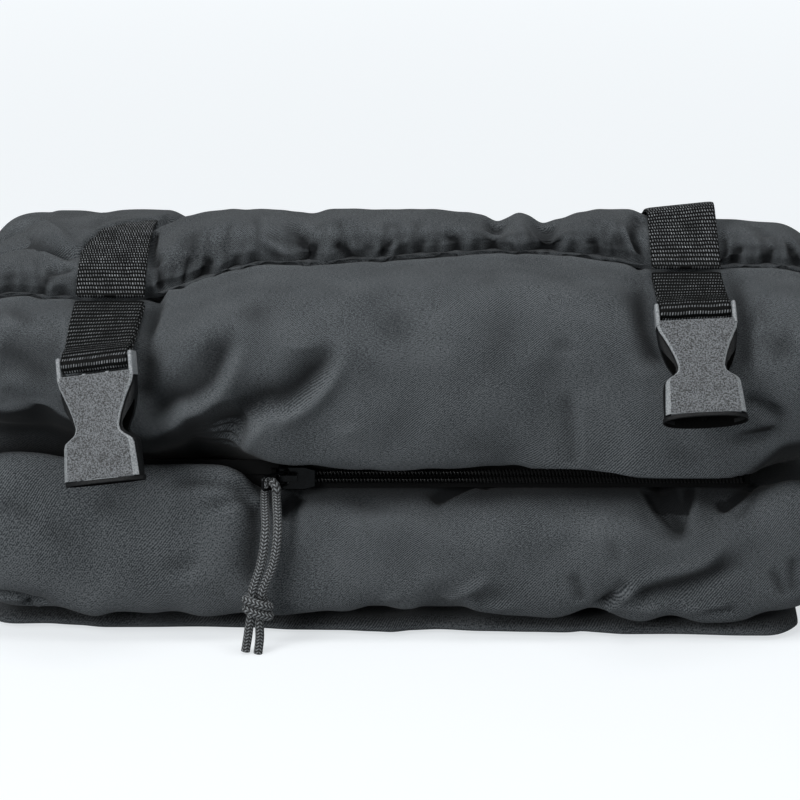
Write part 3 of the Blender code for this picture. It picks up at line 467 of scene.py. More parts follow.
floorMesh = bmesh.new()
bmesh.ops.create_grid(floorMesh, x_segments=4, y_segments=4, size=3.0)
bmesh.ops.translate(floorMesh, verts=floorMesh.verts, vec=(0, 0, -0.0006))
floorMaterial, floorTree = startMaterial("white paper sweep")
floorSeen = addNode(floorTree, "LightPath").outputs["Is Camera Ray"]
away = addNode(floorTree, "VectorMath", {0: objectPlace(floorTree)[0]}, operation="LENGTH").outputs["Value"]
glow = Signal(floorTree, away).span(0.35, 1.9, 0.69, 0.93)
glow = addNode(floorTree, "Mix", {0: floorSeen, 2: 0.05, 3: glow}).outputs[0]
finishShader(floorMaterial, "a2a5a7", 0.95, Emission_Strength=glow, Emission_Color="f5f9fc")
floorObject = linkMesh("floor", floorMesh, floorMaterial)


def areaLight(name, place, aim, size, power):
    data = bpy.data.lights.new(name, "AREA")
    data.shape = "RECTANGLE"
    data.size, data.size_y = size
    data.energy = power
    obj = bpy.data.objects.new(name, data)
    obj.location = place
    obj.rotation_euler = (Vector(aim) - Vector(place)).to_track_quat("-Z", "Y").to_euler()
    scene.collection.objects.link(obj)


areaLight("key softbox", (-1.15, -1.25, 1.15), (0, -0.04, 0.08), (0.60, 0.60), 13.2)
areaLight("low softbox", (-0.95, -1.40, 0.50), (0, -0.05, 0.08), (0.5, 0.4), 8.5)
areaLight("top softbox", (0.20, -0.45, 1.70), (0, 0, 0.06), (1.1, 0.7), 14.5)
areaLight("right softbox", (1.30, -1.20, 0.75), (0, 0, 0.08), (0.6, 0.6), 3.5)
world = bpy.data.worlds.new("white room")
world.use_nodes = True
room = world.node_tree
roomLight = room.nodes["Background"]
setInput(room, roomLight.inputs[0], "f4f8fb")
roomSeen = Signal(room, addNode(room, "LightPath").outputs["Is Camera Ray"])
setInput(room, roomLight.inputs[1], roomSeen.span(0.0, 1.0, 0.15, 1.17))
scene.world = world
scene.view_settings.view_transform = "Standard"
print("light and floor stand")

# pull cord: one cord doubled over the bail's wire, tied in an overhand knot

cord = {
    "radius": 0.00165,
    "wire": Vector((-0.046434, -0.077714, 0.0573)),
    "across": Vector((0.7071, -0.7071, 0.0)),
    "turn": 0.00255,
    "side": Vector((0.00205, 0, 0)),
    "shoulder": Vector((-0.0462, -0.0886, 0.0440)),
    "belly": Vector((-0.0478, -0.0915, 0.0330)),
    "knot": Vector((-0.0512, -0.0925, 0.0172)),
    "tails": (0.0180, 0.0172),
}
# the doubled cord's way through the knot, in mm, with the direction from one strand to the other
knotWay = [
    ((0.0, -0.2, 6.4), (1.0, 0.0, 0.0)),
    ((0.3, 0.9, 3.4), (0.9, 0.1, -0.3)),
    ((1.6, 2.2, 0.6), (0.5, 0.3, -0.8)),
    ((3.6, 1.0, -1.4), (0.1, 0.2, -1.0)),
    ((3.9, -1.4, -1.3), (0.0, -0.1, -1.0)),
    ((1.2, -3.1, -0.2), (-0.2, 0.0, -1.0)),
    ((-2.2, -2.8, 1.0), (-0.3, 0.0, -1.0)),
    ((-4.1, -0.6, 1.3), (0.0, 0.2, -1.0)),
    ((-3.0, 2.0, 0.6), (0.3, 0.3, -0.9)),
    ((-0.6, 2.6, -0.6), (0.7, 0.3, -0.6)),
    ((-0.4, 0.9, -2.8), (0.95, 0.1, -0.2)),
    ((-1.2, -0.1, -5.6), (1.0, 0.0, 0.0)),
]


def knotStrand(sign):
    # one strand through the knot, from its top to its foot
    points = []
    for place, apart in knotWay:
        step = Vector(apart).normalized() * (cord["radius"] + 0.0001) * sign
        points.append(cord["knot"] + Vector(place) / 1000 + step)
    return points


def cordHalf(sign):
    # one half of the cord: from the top of its turn over the wire down to its cut end
    wire, across, turn = cord["wire"], cord["across"], cord["turn"]
    points = []
    for i in range(4):
        t = math.pi / 2 - math.pi / 6 * i * sign
        points.append(wire + across * (turn * math.cos(t)) + Vector((0, 0, turn * math.sin(t))))
    end = points[-1]
    side = cord["side"] * sign
    if sign > 0:
        points.append(end + Vector((0, -0.0003, -0.0030)))
    else:
        points.append(end + Vector((-0.0006, -0.0012, -0.0034)))
    points += [cord["shoulder"] + side * 1.05, cord["belly"] + side * 1.05]
    points += knotStrand(sign)
    drop = cord["tails"][0 if sign > 0 else 1] - 0.0060
    foot = points[-1]
    points.append(foot + Vector((-0.0004 + 0.0004 * sign, 0.0, -drop * 0.5)))
    points.append(foot + Vector((-0.0012 + 0.0005 * sign, 0.0, -drop)))
    return smoothPath(points, 0.00045)


def skin(name, rings, spans, lengths, material):
    # closed skin over rings of points; its UV runs across by spans, one to a column, and along by
    # lengths
    bm = bmesh.new()
    layer = bm.loops.layers.uv.new("cloth")
    columns, rows = len(rings[0]), len(rings) - 1
    bmesh.ops.create_grid(bm, x_segments=columns, y_segments=rows, size=1.0)
    places = {vert: (round((vert.co.x + 1) / 2 * columns), round((vert.co.y + 1) / 2 * rows))
              for vert in bm.verts}
    for face in bm.faces:
        column = min(places[vert][0] for vert in face.verts)
        for loop in face.loops:
            k, i = places[loop.vert]
            loop[layer].uv = (spans[column][k - column], lengths[i])
    for vert, (k, i) in places.items():
        vert.co = rings[i][k % columns]
    bmesh.ops.remove_doubles(bm, verts=bm.verts, dist=1e-6)
    closeUp(bm)
    return linkMesh(name, bm, material)


def sweepTube(name, path, radius, sides, material):
    # round tube along a path, without twist
    rings = []
    normal = None
    for i, point in enumerate(path):
        tangent = (path[min(i + 1, len(path) - 1)] - path[max(i - 1, 0)]).normalized()
        if normal is None:
            normal = tangent.orthogonal().normalized()
        normal = (normal - tangent * normal.dot(tangent)).normalized()
        other = tangent.cross(normal)
        rings.append([point + (normal * math.cos(t) + other * math.sin(t)) * radius
                      for t in (2 * math.pi * k / sides for k in range(sides))])
    spans = [(k / sides, (k + 1) / sides) for k in range(sides)]
    return skin(name, rings, spans, runLengths(path), material)


for sign, name, nodes in (
    (1, "pullCordRight", ("pull_cord_loop", "pull_cord_knot", "pull_cord_tail_right")),
    (-1, "pullCordLeft", ("pull_cord_tail_left",)),
):
    cordPath = cordHalf(sign)
    pullCord = sweepTube(name, cordPath, cord["radius"], 14, materials["braid"])
    stand(pullCord, "pull_cord", "cord", *nodes)
    cordLength = float(runLengths(cordPath)[-1])
    print("%s lies, %.0f mm long" % (name, cordLength * 1000))

# the bag's own form, the same as in the solids

bag = {
    "halfLength": 0.158,
    "endRounding": 0.018,
    "endFace": 0.93,
    "back": 0.085,
    "power": 3.5,
    "seamHeights": ((-0.150, 0.1232), (-0.090, 0.1240), (-0.045, 0.1345),
                    (0.036, 0.1388), (0.110, 0.1340), (0.150, 0.1330)),
    "straps": (-0.1052, 0.1036),
}
upper = {"front": -0.084, "low": 0.0600, "high": 0.1390, "shoulderPower": 2.3,
         "rear": 0.905, "fall": 1.3, "leftRise": 0.095, "dent": 0.030,
         "sagMiddle": 0.0040, "sagRight": 0.0085, "sagPlace": -0.0815, "sagReach": 0.0055}
lower = {"front": -0.0829, "back": 0.083, "low": 0.0052, "high": 0.0582, "power": 3.8, "topPower": 3.2,
         "hang": 1.9}
base = {"front": -0.077, "back": 0.074, "high": 0.0048, "left": -0.152, "right": 0.147, "corner": 0.010,
        "power": 5.0, "cut": 0.0005}
band = {"front": -0.0535, "back": 0.010, "height": 0.0090, "lift": 0.0010, "seamBack": 0.0070,
        "seamStrap": 0.0055, "sunk": 0.0022}
liningFree = {"x": 0.126, "front": -0.0565, "back": 0.0585, "upper": 0.0609, "lower": 0.0573,
              "reach": 0.08}


# how square the upper layer's lower front corner is along x, in mm
footCorner = (
    (-158, 6.5), (-120, 6.0), (-100, 4.2), (-66, 3.6), (-46, 5.8), (122, 5.8), (142, 5.0), (158, 4.2),
)
# the room that the zip, the slider, its bail and the cord need under the upper layer, in mm: how far
# back, and how high
zipRoom = (
    (-90.0, 62.9), (-83.6, 62.9), (-82.6, 64.0), (-69.5, 64.0), (-67.8, 65.0), (-64.6, 65.0), (-62.5, 61.0),
    (-50.0, 60.9),
)
# lines traced along the front, in mm: place along x, then the shift there
upperLip = (
    (-158, 17.4), (-140, 17.2), (-126, 16.4), (-117, 12.4), (-104, 6.0), (-91, 2.8), (-81, 5.0), (-76, 6.8),
    (-72.3, 9.6), (-67.6, 6.2), (-64.7, 5.6), (-61.5, 7.2), (-57, 5.0), (-52, 3.4), (-46, 2.2), (-39, 1.9),
    (-32, 2.2), (-25, 1.3), (-17, 0.1), (0, -0.3), (16, 0.3), (34, 1.2), (44, 2.3), (55, 3.4), (62, 2.6),
    (66.5, 2.2), (72, 1.1), (84, -0.7), (100, -1.5), (118, -1.4), (131, 0.0), (143, 2.6), (158, 5.0),
)
lowerLip = (
    (-158, 19.6), (-134, 19.6), (-127, 18.8), (-118, 17.4), (-108, 16.2), (-92, 15.2), (-64, 14.2), (-60, 12.4),
    (-56, 9.4), (-53, 6.0), (-50, 3.6), (-46, 0.0), (-41.5, -2.0), (-38, -0.8), (-32, 0.4), (-14, 0.4),
    (8, 0.2), (14, -1.0), (24, 0.8), (42, 1.4), (66, 1.0), (84, 0.4), (93, -2.6), (99, -3.6), (104, 0.4),
    (109, -0.6), (114.5, -3.0), (121, 0.6), (128, 3.6), (143, 8.6), (158, 10.0),
)
lowerHem = (
    (-158, 2.4), (-143, 1.8), (-131, 0.4), (-124, -1.0), (-117, -3.0), (-110, -4.0), (-104, -2.6), (-98, -2.8),
    (-92, -3.4), (-82, -2.6), (-74, -4.0), (-56, -2.8), (-44, -3.6), (-34, -3.0), (-24, -2.4), (-20, -2.9),
    (-14, -2.2), (-8, -0.4), (-2, -2.2), (4, -2.0), (14.6, 1.2), (21, 0.2), (27, -2.4), (36, -3.2), (46, -3.6),
    (57, -4.2), (65, -3.0), (71.5, -0.6), (77, -3.4), (88, -5.2), (98.5, -3.2), (110, -5.2), (123, -5.0),
    (134, -2.2), (143, -1.4), (158, -1.8),
)
baseHem = (
    (-158, 13), (-143, 12), (-131, 12.6), (-119, 10.6), (-109, 8.0), (-92, 8.0), (-74, 8.6), (-56, 7.6),
    (-38, 5.0), (-22, 4.6), (-9, 3.0), (-3, 2.0), (4, 4.4), (14, 5.6), (30, 3.4), (48, 2.4), (62, 1.6),
    (67, 3.6), (71, 2.0), (82, -0.2), (98, 0.0), (126, -1.6), (136, -1.8), (141, 1.0), (146, 4.0), (158, 6.0),
)


def shiftAt(x, line):
    # value at a place, smooth between the stops of a table in mm
    return throughValues(np.asarray(x) * 1000, line) / 1000


def straightAt(x, line):
    return np.interp(x * 1000, [stop[0] for stop in line], [stop[1] for stop in line]) / 1000


def nearStraps(x, width):
    left, right = bag["straps"]
    return np.maximum(bell(x, left, width) ** 2, bell(x, right, width) ** 2)


def shoulders(x):
    # how far forward the front stands, and how square the layer's upper front corner is
    left, right = bag["straps"]
    belly = 0.0015 * bell(x, right, 0.032) - 0.006 * bell(x, left - 0.009, 0.026)
    soft = np.maximum(bell(x, left, 0.026), bell(x, right, 0.028))
    return upper["front"] - belly, bag["power"] + (upper["shoulderPower"] - bag["power"]) * soft


def heightFactor(x, y):
    rear = upper["rear"] - upper["fall"] * np.maximum(y, 0.0)
    rear = rear + upper["leftRise"] * fade(x, -0.115, -0.045) * smoothStep(y, 0.023, 0.046)
    away = np.abs(x - bag["straps"][0])
    rear = rear - upper["dent"] * fade(away, 0.014, 0.026) * smoothStep(y, 0.023, 0.046)
    seam = (throughValues(x, bag["seamHeights"]) - upper["low"]) / (upper["high"] - upper["low"])
    blend = smoothStep(y, -0.025, 0.022)
    return seam * (1 - blend) + rear * blend


def endInset(x):
    t = np.clip((np.abs(x) - (bag["halfLength"] - bag["endRounding"])) / bag["endRounding"], 0, 1) * bag["endFace"]
    return bag["endRounding"] * (1 - np.sqrt(1 - t * t))


def superRing(b, c, front, back, low, high, power, topPower, inset, footPower=None):
    # points of a rounded section from places b and c on a unit square
    size = np.maximum(np.maximum(np.abs(b), np.abs(c)), 1e-9)
    bu, cu = b / size, c / size
    p = np.where((bu < 0) & (cu > 0), topPower, power)
    if footPower is not None:
        p = np.where((bu < 0) & (cu < 0), footPower, p)
    reach = np.maximum(np.abs(bu) ** p + np.abs(cu) ** p, 1e-9) ** (-1 / p)
    y = (front + back) / 2 + ((back - front) / 2 - inset) * bu * reach * size
    z = (low + high) / 2 + ((high - low) / 2 - inset) * cu * reach * size
    return y, z, size


def endSwell(a, size, height):
    # the end faces stand out a little in their middle
    return np.sign(a) * np.where(np.abs(a) > 0.999, height * (1 - size ** 2), 0.0)


def upperForm(a, b, c):
    x = a * bag["halfLength"]
    front, corner = shoulders(x)
    y, z, size = superRing(b, c, front, bag["back"], upper["low"], upper["high"], bag["power"], corner,
                           endInset(x), throughValues(x * 1000, footCorner))
    sag = upper["sagMiddle"] * smoothStep(x, -0.060, -0.035) + upper["sagRight"] * smoothStep(x, 0.040, 0.062)
    sag = sag * fade(x, 0.108, 0.140)
    nearLip = fade(z, upper["low"] + 0.004, upper["low"] + 0.036)
    z = upper["low"] + (z - upper["low"]) * heightFactor(x, y)
    z = z - sag * bell(y, upper["sagPlace"], upper["sagReach"]) * nearLip
    lip = smoothStep(-y, 0.056, 0.070) * fade(z, 0.066, 0.100) * smoothStep(z, 0.0585, 0.0625)
    z = z + shiftAt(x, upperLip) * lip
    return x + endSwell(a, size, 0.0022), y, z


def lowerForm(a, b, c):
    x = a * bag["halfLength"]
    y, z, size = superRing(b, c, lower["front"], lower["back"], lower["low"], lower["high"],
                           lower["power"], lower["topPower"], endInset(x))
    front = smoothStep(-y, 0.0640, 0.0700)
    z = z + shiftAt(x, lowerLip) * front * smoothStep(z, 0.022, 0.050)
    hang = lower["hang"] * shiftAt(x, lowerHem) * smoothStep(-y, 0.070, 0.079) * fade(z, 0.012, 0.030)
    z = z + hang * smoothStep(z, 0.0052, 0.0085)
    return x + endSwell(a, size, 0.0022), y, z


def baseForm(a, b, c):
    middle = (base["left"] + base["right"]) / 2
    half = (base["right"] - base["left"]) / 2
    x = middle + a * half
    over = np.clip((np.abs(a) * half - (half - base["corner"])) / base["corner"], 0, 1) * 0.96
    corner = base["corner"] * (1 - np.sqrt(1 - over * over))
    y, z, size = superRing(b, c, base["front"] + corner + shiftAt(x, baseHem), base["back"] - corner, -base["cut"],
                           base["high"], base["power"], base["power"], 0.0)
    z = np.maximum(z, 0.0)
    z = np.where(z > 0.0024, 0.0024 + (z - 0.0024) * np.clip(1 - corner / 0.030, 0.6, 1), z)
    return x + endSwell(a, size, 0.0010), y, z


def layerTop(x, y):
    # height of the upper layer's top surface
    x = np.asarray(x, dtype=float)
    y = np.asarray(y, dtype=float)
    front, corner = shoulders(x)
    inset = endInset(x)
    halfY = (bag["back"] - front) / 2 - inset
    halfZ = (upper["high"] - upper["low"]) / 2 - inset
    across = np.clip((y - (front + bag["back"]) / 2) / halfY, -1, 1)
    p = np.where(across < 0, corner, bag["power"])
    z = (upper["low"] + upper["high"]) / 2 + halfZ * (1 - np.abs(across) ** p) ** (1 / p)
    return upper["low"] + (z - upper["low"]) * heightFactor(x, y)


# how far the seam stands forward of its line, in mm
seamLine = (
    (-158, -0.8), (-143, -0.6), (-136, -1.2), (-130, 1.2), (-126, 0.2), (-120, -1.4), (-112, -2.0), (-98, -2.6),
    (-93, -3.2), (-86.6, -1.6), (-84, -4.8), (-81.5, -4.8), (-79.4, -3.0), (-76, -5.4), (-70, -5.2),
    (-67.4, -3.6), (-64, -4.6), (-60, -4.0), (-58, -2.6), (-54, -3.2), (-38, -1.8), (-33, 0.3), (-29, -0.8),
    (-12, -1.0), (-6.6, 0.5), (-2, -0.6), (17, -0.6), (21, 0.1), (25, -0.8), (38, -0.8), (42, 0.2), (46, -1.4),
    (57.5, -2.2), (62, -3.4), (75, -3.0), (79, -3.4), (88, -2.0), (93, -2.4), (114, -3.6), (117, -2.9),
    (122, -3.8), (130, -2.4), (136, -2.4), (145, -0.8), (158, -0.8),
)


def seamY(x):
    return band["front"] + band["seamBack"] - shiftAt(x, seamLine)


# the band's section: share of the way round, distance back from the seam and height, in mm
bandSection = (
    (0.0, 0.0, 0.3), (0.05, -0.9, 0.8), (0.10, -1.4, 1.8), (0.15, -1.4, 3.2), (0.21, -0.5, 5.3),
    (0.28, 1.8, 7.4), (0.36, 6.0, 8.8), (0.46, 14.0, 9.4), (0.58, 25.0, 9.3), (0.72, 39.0, 8.6),
    (0.85, 52.0, 6.2), (0.94, 60.0, 3.0), (1.0, 63.5, 0.3),
)
bandCrown = (
    (-158, 0.0), (-95, 0.0), (-88, 3.4), (-80, 6.2), (-73, 6.8), (-64, 6.0), (-56, 4.4), (-44, 3.4), (-38, 2.4),
    (-32, 1.4), (-26, 2.8), (-18, 2.6), (-8, 1.6), (2, 1.0), (10, 0.2), (25, -1.2), (30, -2.4), (36.5, -5.6),
    (40, -4.0), (44, -1.6), (47, -2.4), (53, -5.6), (59, -3.0), (67, 0.0), (75, 1.8), (86, 3.0), (92, 1.0),
    (96, 0.0), (117, 0.0), (122, -0.2), (134, -1.0), (158, -1.6),
)


def bandForm(a, b, c):
    # underside on the layer, crown above it, front edge rolled forward over the seam
    x = a * (bag["halfLength"] - 0.0045)
    u = (b + 1) / 2
    shares, back, rise = (np.array([row[k] for row in bandSection]) for k in range(3))
    strap = nearStraps(x, 0.0150)
    away = np.interp(u, shares, back) / 1000
    overhang = np.minimum(away, 0) * (1 - strap)
    plain = band["height"] * np.sin(np.pi * (0.04 + 0.92 * u)) ** 0.6 - 0.0006
    over = np.interp(u, shares, rise) / 1000
    away = away * (1 - strap) + (band["back"] - band["front"]) * u * strap
    over = over * (1 - strap) + plain * strap
    start = seamY(x)
    start = start * (1 - strap) + (band["front"] + band["seamStrap"]) * strap
    y = start * (1 - u) + band["front"] * u + np.maximum(away, 0) + overhang * (c + 1) / 2
    under = layerTop(x, np.maximum(y, start)) + band["lift"] - band["sunk"] * fade(u, 0.0, 0.09)
    height = np.maximum(band["height"] - endInset(x) * 0.5, 0.002) / band["height"]
    crown = over * height + shiftAt(x, bandCrown) * smoothStep(u, 0.20, 0.45) * fade(u, 0.8, 1.0)
    return x, y, under + crown * (c + 1) / 2


def gridPillow(name, form, cells, sizes, material):
    # six-sided grid shaped by a form, with UVs in metres that run on round its section
    bm = bmesh.new()
    bmesh.ops.create_cube(bm, size=2.0)
    for axis in range(3):
        along = [e for e in bm.edges
                 if abs(e.verts[0].co[axis] - e.verts[1].co[axis]) > 1e-6]
        bmesh.ops.subdivide_edges(bm, edges=along, cuts=cells[axis] - 1, use_grid_fill=True)
    layer = bm.loops.layers.uv.new("cloth")
    halfX, halfY, halfZ = sizes
    for face in bm.faces:
        n = face.normal
        axis = max(range(3), key=lambda k: abs(n[k]))
        for loop in face.loops:
            a, b, c = loop.vert.co
            if axis == 0:
                uv = (b * halfY + 0.7, c * halfZ + 0.3 * (1 if n[0] > 0 else -1))
            elif axis == 2 and n[2] < 0:
                uv = (a * halfX, halfY * (1 - b))
            elif axis == 1 and n[1] < 0:
                uv = (a * halfX, 2 * halfY + halfZ * (1 + c))
            elif axis == 2:
                uv = (a * halfX, 2 * halfY + 2 * halfZ + halfY * (1 + b))
            else:
                uv = (a * halfX, 4 * halfY + 2 * halfZ + halfZ * (1 - c))
            loop[layer].uv = uv
    obj = linkMesh(name, bm, material)
    co = meshPoints(obj.data)
    x, y, z = form(co[:, 0], co[:, 1], co[:, 2])
    square = co.copy()
    setMeshPoints(obj.data, np.stack([x, y, z], axis=1))
    return obj, square


clothSettings = {
    "quality": 6,
    "mass": 0.25,
    "tension_stiffness": 18,
    "compression_stiffness": 12,
    "bending_stiffness": 0.35,
    "air_damping": 3.0,
    "use_pressure": True,
    "vertex_group_mass": "pinned",
    "pin_stiffness": 1.0,
}
clothFrames = 18


def simulate(obj, pinned, growth, pressure, cap):
    # lets the cloth fill out a little, and keeps each point near where it started
    start = meshPoints(obj.data)
    group = obj.vertex_groups.new(name="pinned")
    for index in np.nonzero(pinned > 0.001)[0]:
        group.add([int(index)], float(pinned[index]), "REPLACE")
    cloth = obj.modifiers.new("cloth", "CLOTH")
    for key, value in clothSettings.items():
        setattr(cloth.settings, key, value)
    cloth.settings.uniform_pressure_force = pressure
    cloth.settings.shrink_min = -growth
    cloth.settings.effector_weights.gravity = 0.0
    cloth.point_cache.frame_start = 1
    cloth.point_cache.frame_end = clothFrames
    for number in range(1, clothFrames + 1):
        scene.frame_set(number)
    evaluated = obj.evaluated_get(bpy.context.evaluated_depsgraph_get())
    moved = meshPoints(evaluated.data)
    obj.modifiers.remove(cloth)
    obj.vertex_groups.remove(group)
    scene.frame_set(1)
    step = moved - start
    length = np.linalg.norm(step, axis=1, keepdims=True)
    step *= np.minimum(1.0, cap / np.maximum(length, 1e-9))
    setMeshPoints(obj.data, start + step)
    print(obj.name, "filled out by up to %.1f mm" % (1000 * min(length.max(), cap)))


def subdivide(obj, levels):
    # smooth subdivision, applied
    modifier = obj.modifiers.new("smooth", "SUBSURF")
    modifier.levels = levels
    modifier.render_levels = levels
    modifier.boundary_smooth = "PRESERVE_CORNERS"
    applyModifiers(obj)
    smoothFaces(obj.data)


def castLine(tree, line, spacing=3.0):
    # points where a line drawn on the photograph meets a surface
    path = smoothPath([Vector((x, y, 0)) for x, y in line], spacing)
    places = []
    for p in path:
        hit = tree.ray_cast(cameraPlace, pixelRay(p.x, p.y))[0]
        if hit is not None:
            places.append(hit)
    return places


# how deep a fold is where its painted shade is darkest, in metres, and the most painted light that a ridge may take
foldShade = {"full": 0.0032, "least": -0.25}


def foldSurface(obj, folds):
    # presses valleys and lifts ridges along lines drawn on the photograph; each row holds the line's
    # places, the depth and the widths of the steep and the soft side in mm, how much of the run fades
    # in and out, and the ridges beside the two sides in mm; the steep side is on the line's left
    mesh = obj.data
    co = meshPoints(mesh)
    normals = meshNormals(mesh)
    tree = BVHTree.FromPolygons([Vector(p) for p in co], [tuple(p.vertices) for p in mesh.polygons])
    facing = normals @ np.array(-pixelRay(400, 400)) > -0.15
    shade = np.zeros(len(co))
    for drawn, *sizes, fadeIn, fadeOut, ridge, softRidge in ((*row, 0.0, 0.0)[:8] for row in folds):
        places = castLine(tree, zip(drawn[::2], drawn[1::2]))
        if len(places) < 3:
            continue
        depth, steep, soft = (mm(size) for size in sizes)
        line = np.array(places)
        tangent = np.gradient(line, axis=0)
        tangent /= np.maximum(np.linalg.norm(tangent, axis=1, keepdims=True), 1e-9)
        wide = max(steep, soft) * 3.2
        near = np.all((co > line.min(axis=0) - wide) & (co < line.max(axis=0) + wide), axis=1) & facing
        near = np.nonzero(near)[0]
        if len(near) == 0:
            continue
        offset = co[near][:, None, :] - line[None, :, :]
        distance = np.linalg.norm(offset, axis=2)
        closest = distance.argmin(axis=1)
        gap = distance[np.arange(len(near)), closest]
        step = offset[np.arange(len(near)), closest]
        hand = np.sum(np.cross(tangent[closest], step) * normals[near], axis=1)
        t = closest / (len(line) - 1)
        strength = np.minimum(smoothStep(t, 0.0, fadeIn) if fadeIn > 0 else 1.0,
                              1 - smoothStep(t, 1 - fadeOut, 1.0) if fadeOut > 0 else 1.0)
        width = np.where(hand > 0, steep, soft)
        raised = mm(ridge) * bell(gap, 1.9 * steep, steep) * (hand > 0)
        raised = raised + mm(softRidge) * bell(gap, 1.9 * soft, soft) * (hand <= 0)
        co[near] += normals[near] * ((raised - depth * bell(gap, 0.0, width)) * strength)[:, None]
        # painted shade along each valley, painted light along each ridge
        valley = np.clip(depth / foldShade["full"], foldShade["least"], 1.0) * bell(gap, 0.0, 0.75 * width)
        shade[near] += (valley - 0.6 * raised / foldShade["full"]) * strength
    setMeshPoints(mesh, co)
    paintShade(mesh, np.clip(shade, -0.6, 1.2))


def loosen(obj, waves, keep=None):
    # low uneven waves, so that no stretch of cloth is perfectly even
    co = meshPoints(obj.data)
    normals = meshNormals(obj.data)
    total = np.zeros(len(co))
    for size, height, seed in waves:
        total += height * rippleNoise(co / np.array(size), seed)
    if keep is not None:
        total *= keep(co)
    setMeshPoints(obj.data, co + normals * total[:, None])


def relax(obj, rounds):
    # evens out the sharpest kinks
    bm = bmesh.new()
    bm.from_mesh(obj.data)
    for number in range(rounds):
        bmesh.ops.smooth_vert(bm, verts=bm.verts, factor=0.5, use_axis_x=True, use_axis_y=True, use_axis_z=True)
    bm.to_mesh(obj.data)
    bm.free()


# upper layer

upperFolds = (
    ((165, 280, 161, 300, 156, 318, 150, 336, 146, 352), 2.6, 1.5, 5.5, 0.0, 0.4, 0.7),
    ((150, 330, 147, 350, 145, 372, 142, 395, 138, 412), 3.0, 4.5, 6.0, 0.4, 0.3),
    ((232, 320, 226, 342, 218, 360, 208, 380, 197, 391, 188, 397, 176, 400, 166, 407, 155, 418, 144, 432),
     4.9, 3.4, 8.5, 0.3, 0.2, 1.4),
    ((268, 290, 254, 312, 240, 330), 1.6, 8.0, 8.0, 0.5, 0.5),
    ((320, 334, 326, 350, 321, 366, 310, 381, 297, 393, 281, 401, 265, 403, 252, 411, 242, 422, 234, 434, 228, 446),
     8.0, 3.2, 7.5, 0.3, 0.08, 2.0),
    ((336, 360, 326, 382, 310, 401, 288, 418, 268, 434, 256, 448), -2.0, 4.0, 5.0, 0.4, 0.3),
    ((368, 427, 352, 431, 334, 436), -0.8, 2.0, 3.0, 0.4, 0.4),
    ((398, 300, 395, 330, 392, 352), 0.9, 7.0, 8.0, 0.4, 0.4),
    ((508, 300, 504, 326, 496, 366, 492, 400), 1.0, 8.0, 9.0, 0.4, 0.4),
    ((494, 262, 490, 278, 486, 290), 0.7, 4.0, 4.0, 0.4, 0.4),
    ((640, 268, 643, 284, 647, 306, 651, 330, 656, 352, 662, 372), 4.4, 3.6, 6.0, 0.3, 0.2),
    ((636, 262, 641, 270, 648, 280), 1.2, 1.4, 2.4, 0.1, 0.5),
    ((734, 262, 738, 290, 741, 325, 744, 360, 746, 392), 2.3, 4.0, 5.0, 0.2, 0.3),
    ((566, 340, 564, 356), 0.7, 4.0, 4.0, 0.4, 0.4),
    ((567, 386, 570, 412, 572, 440, 574, 468), 1.3, 2.2, 4.5, 0.3, 0.05, 0.5),
    ((742, 399, 758, 401, 774, 410, 790, 421), 1.8, 2.0, 3.2, 0.2, 0.3, 0.0, 0.8),
    ((722, 441, 738, 439, 755, 436, 772, 430, 787, 425), 1.6, 2.0, 3.5, 0.3, 0.3, 0.6),
    ((758, 292, 762, 312, 768, 330), 0.9, 4.0, 5.0, 0.4, 0.4),
    ((776, 330, 782, 350, 784, 368), 0.9, 4.0, 5.0, 0.4, 0.4),
    ((0, 340, 24, 356, 44, 376, 60, 396), 1.2, 5.0, 8.0, 0.1, 0.4),
    ((0, 318, 18, 322, 40, 330, 62, 344), -0.8, 4.0, 5.0, 0.1, 0.4),
    ((-4, 356, 28, 348, 66, 352), 1.5, 11.0, 13.0, 0.0, 0.1),
    ((752, 330, 770, 338, 796, 336), 1.0, 8.0, 10.0, 0.3, 0.1),
    ((0, 392, 20, 398, 44, 412, 60, 424), 0.9, 3.0, 5.0, 0.1, 0.4, 0.5),
    ((12, 300, 26, 318, 40, 330), 1.2, 4.0, 5.0, 0.3, 0.4),
    ((448, 438, 470, 446, 502, 452, 530, 448), 0.8, 5.0, 6.0, 0.4, 0.4),
    ((660, 446, 690, 456, 716, 456), 0.9, 4.0, 6.0, 0.4, 0.4),
)
rollFolds = (
    ((-6, 256, 14, 250, 38, 248, 58, 254, 76, 262), 3.0, 2.4, 4.5, 0.05, 0.2),
    ((0, 232, 22, 240, 46, 244, 66, 250), 2.2, 4.0, 5.0, 0.2, 0.3),
    ((0, 240, 14, 228, 34, 221, 52, 227, 66, 238, 78, 247), -1.6, 2.2, 3.0, 0.1, 0.3),
    ((10, 246, 26, 238, 42, 240, 52, 250), 1.6, 4.0, 5.0, 0.3, 0.4),
    ((104, 216, 99, 224, 93, 231), 1.0, 2.5, 3.5, 0.1, 0.4),
    ((90, 224, 110, 219, 130, 216), 0.5, 2.0, 3.0, 0.4, 0.4),
)
upperShell, upperSquare = gridPillow("upperLayer", upperForm, (60, 26, 19), (0.158, 0.0845, 0.0395),
                                     materials["twill"])


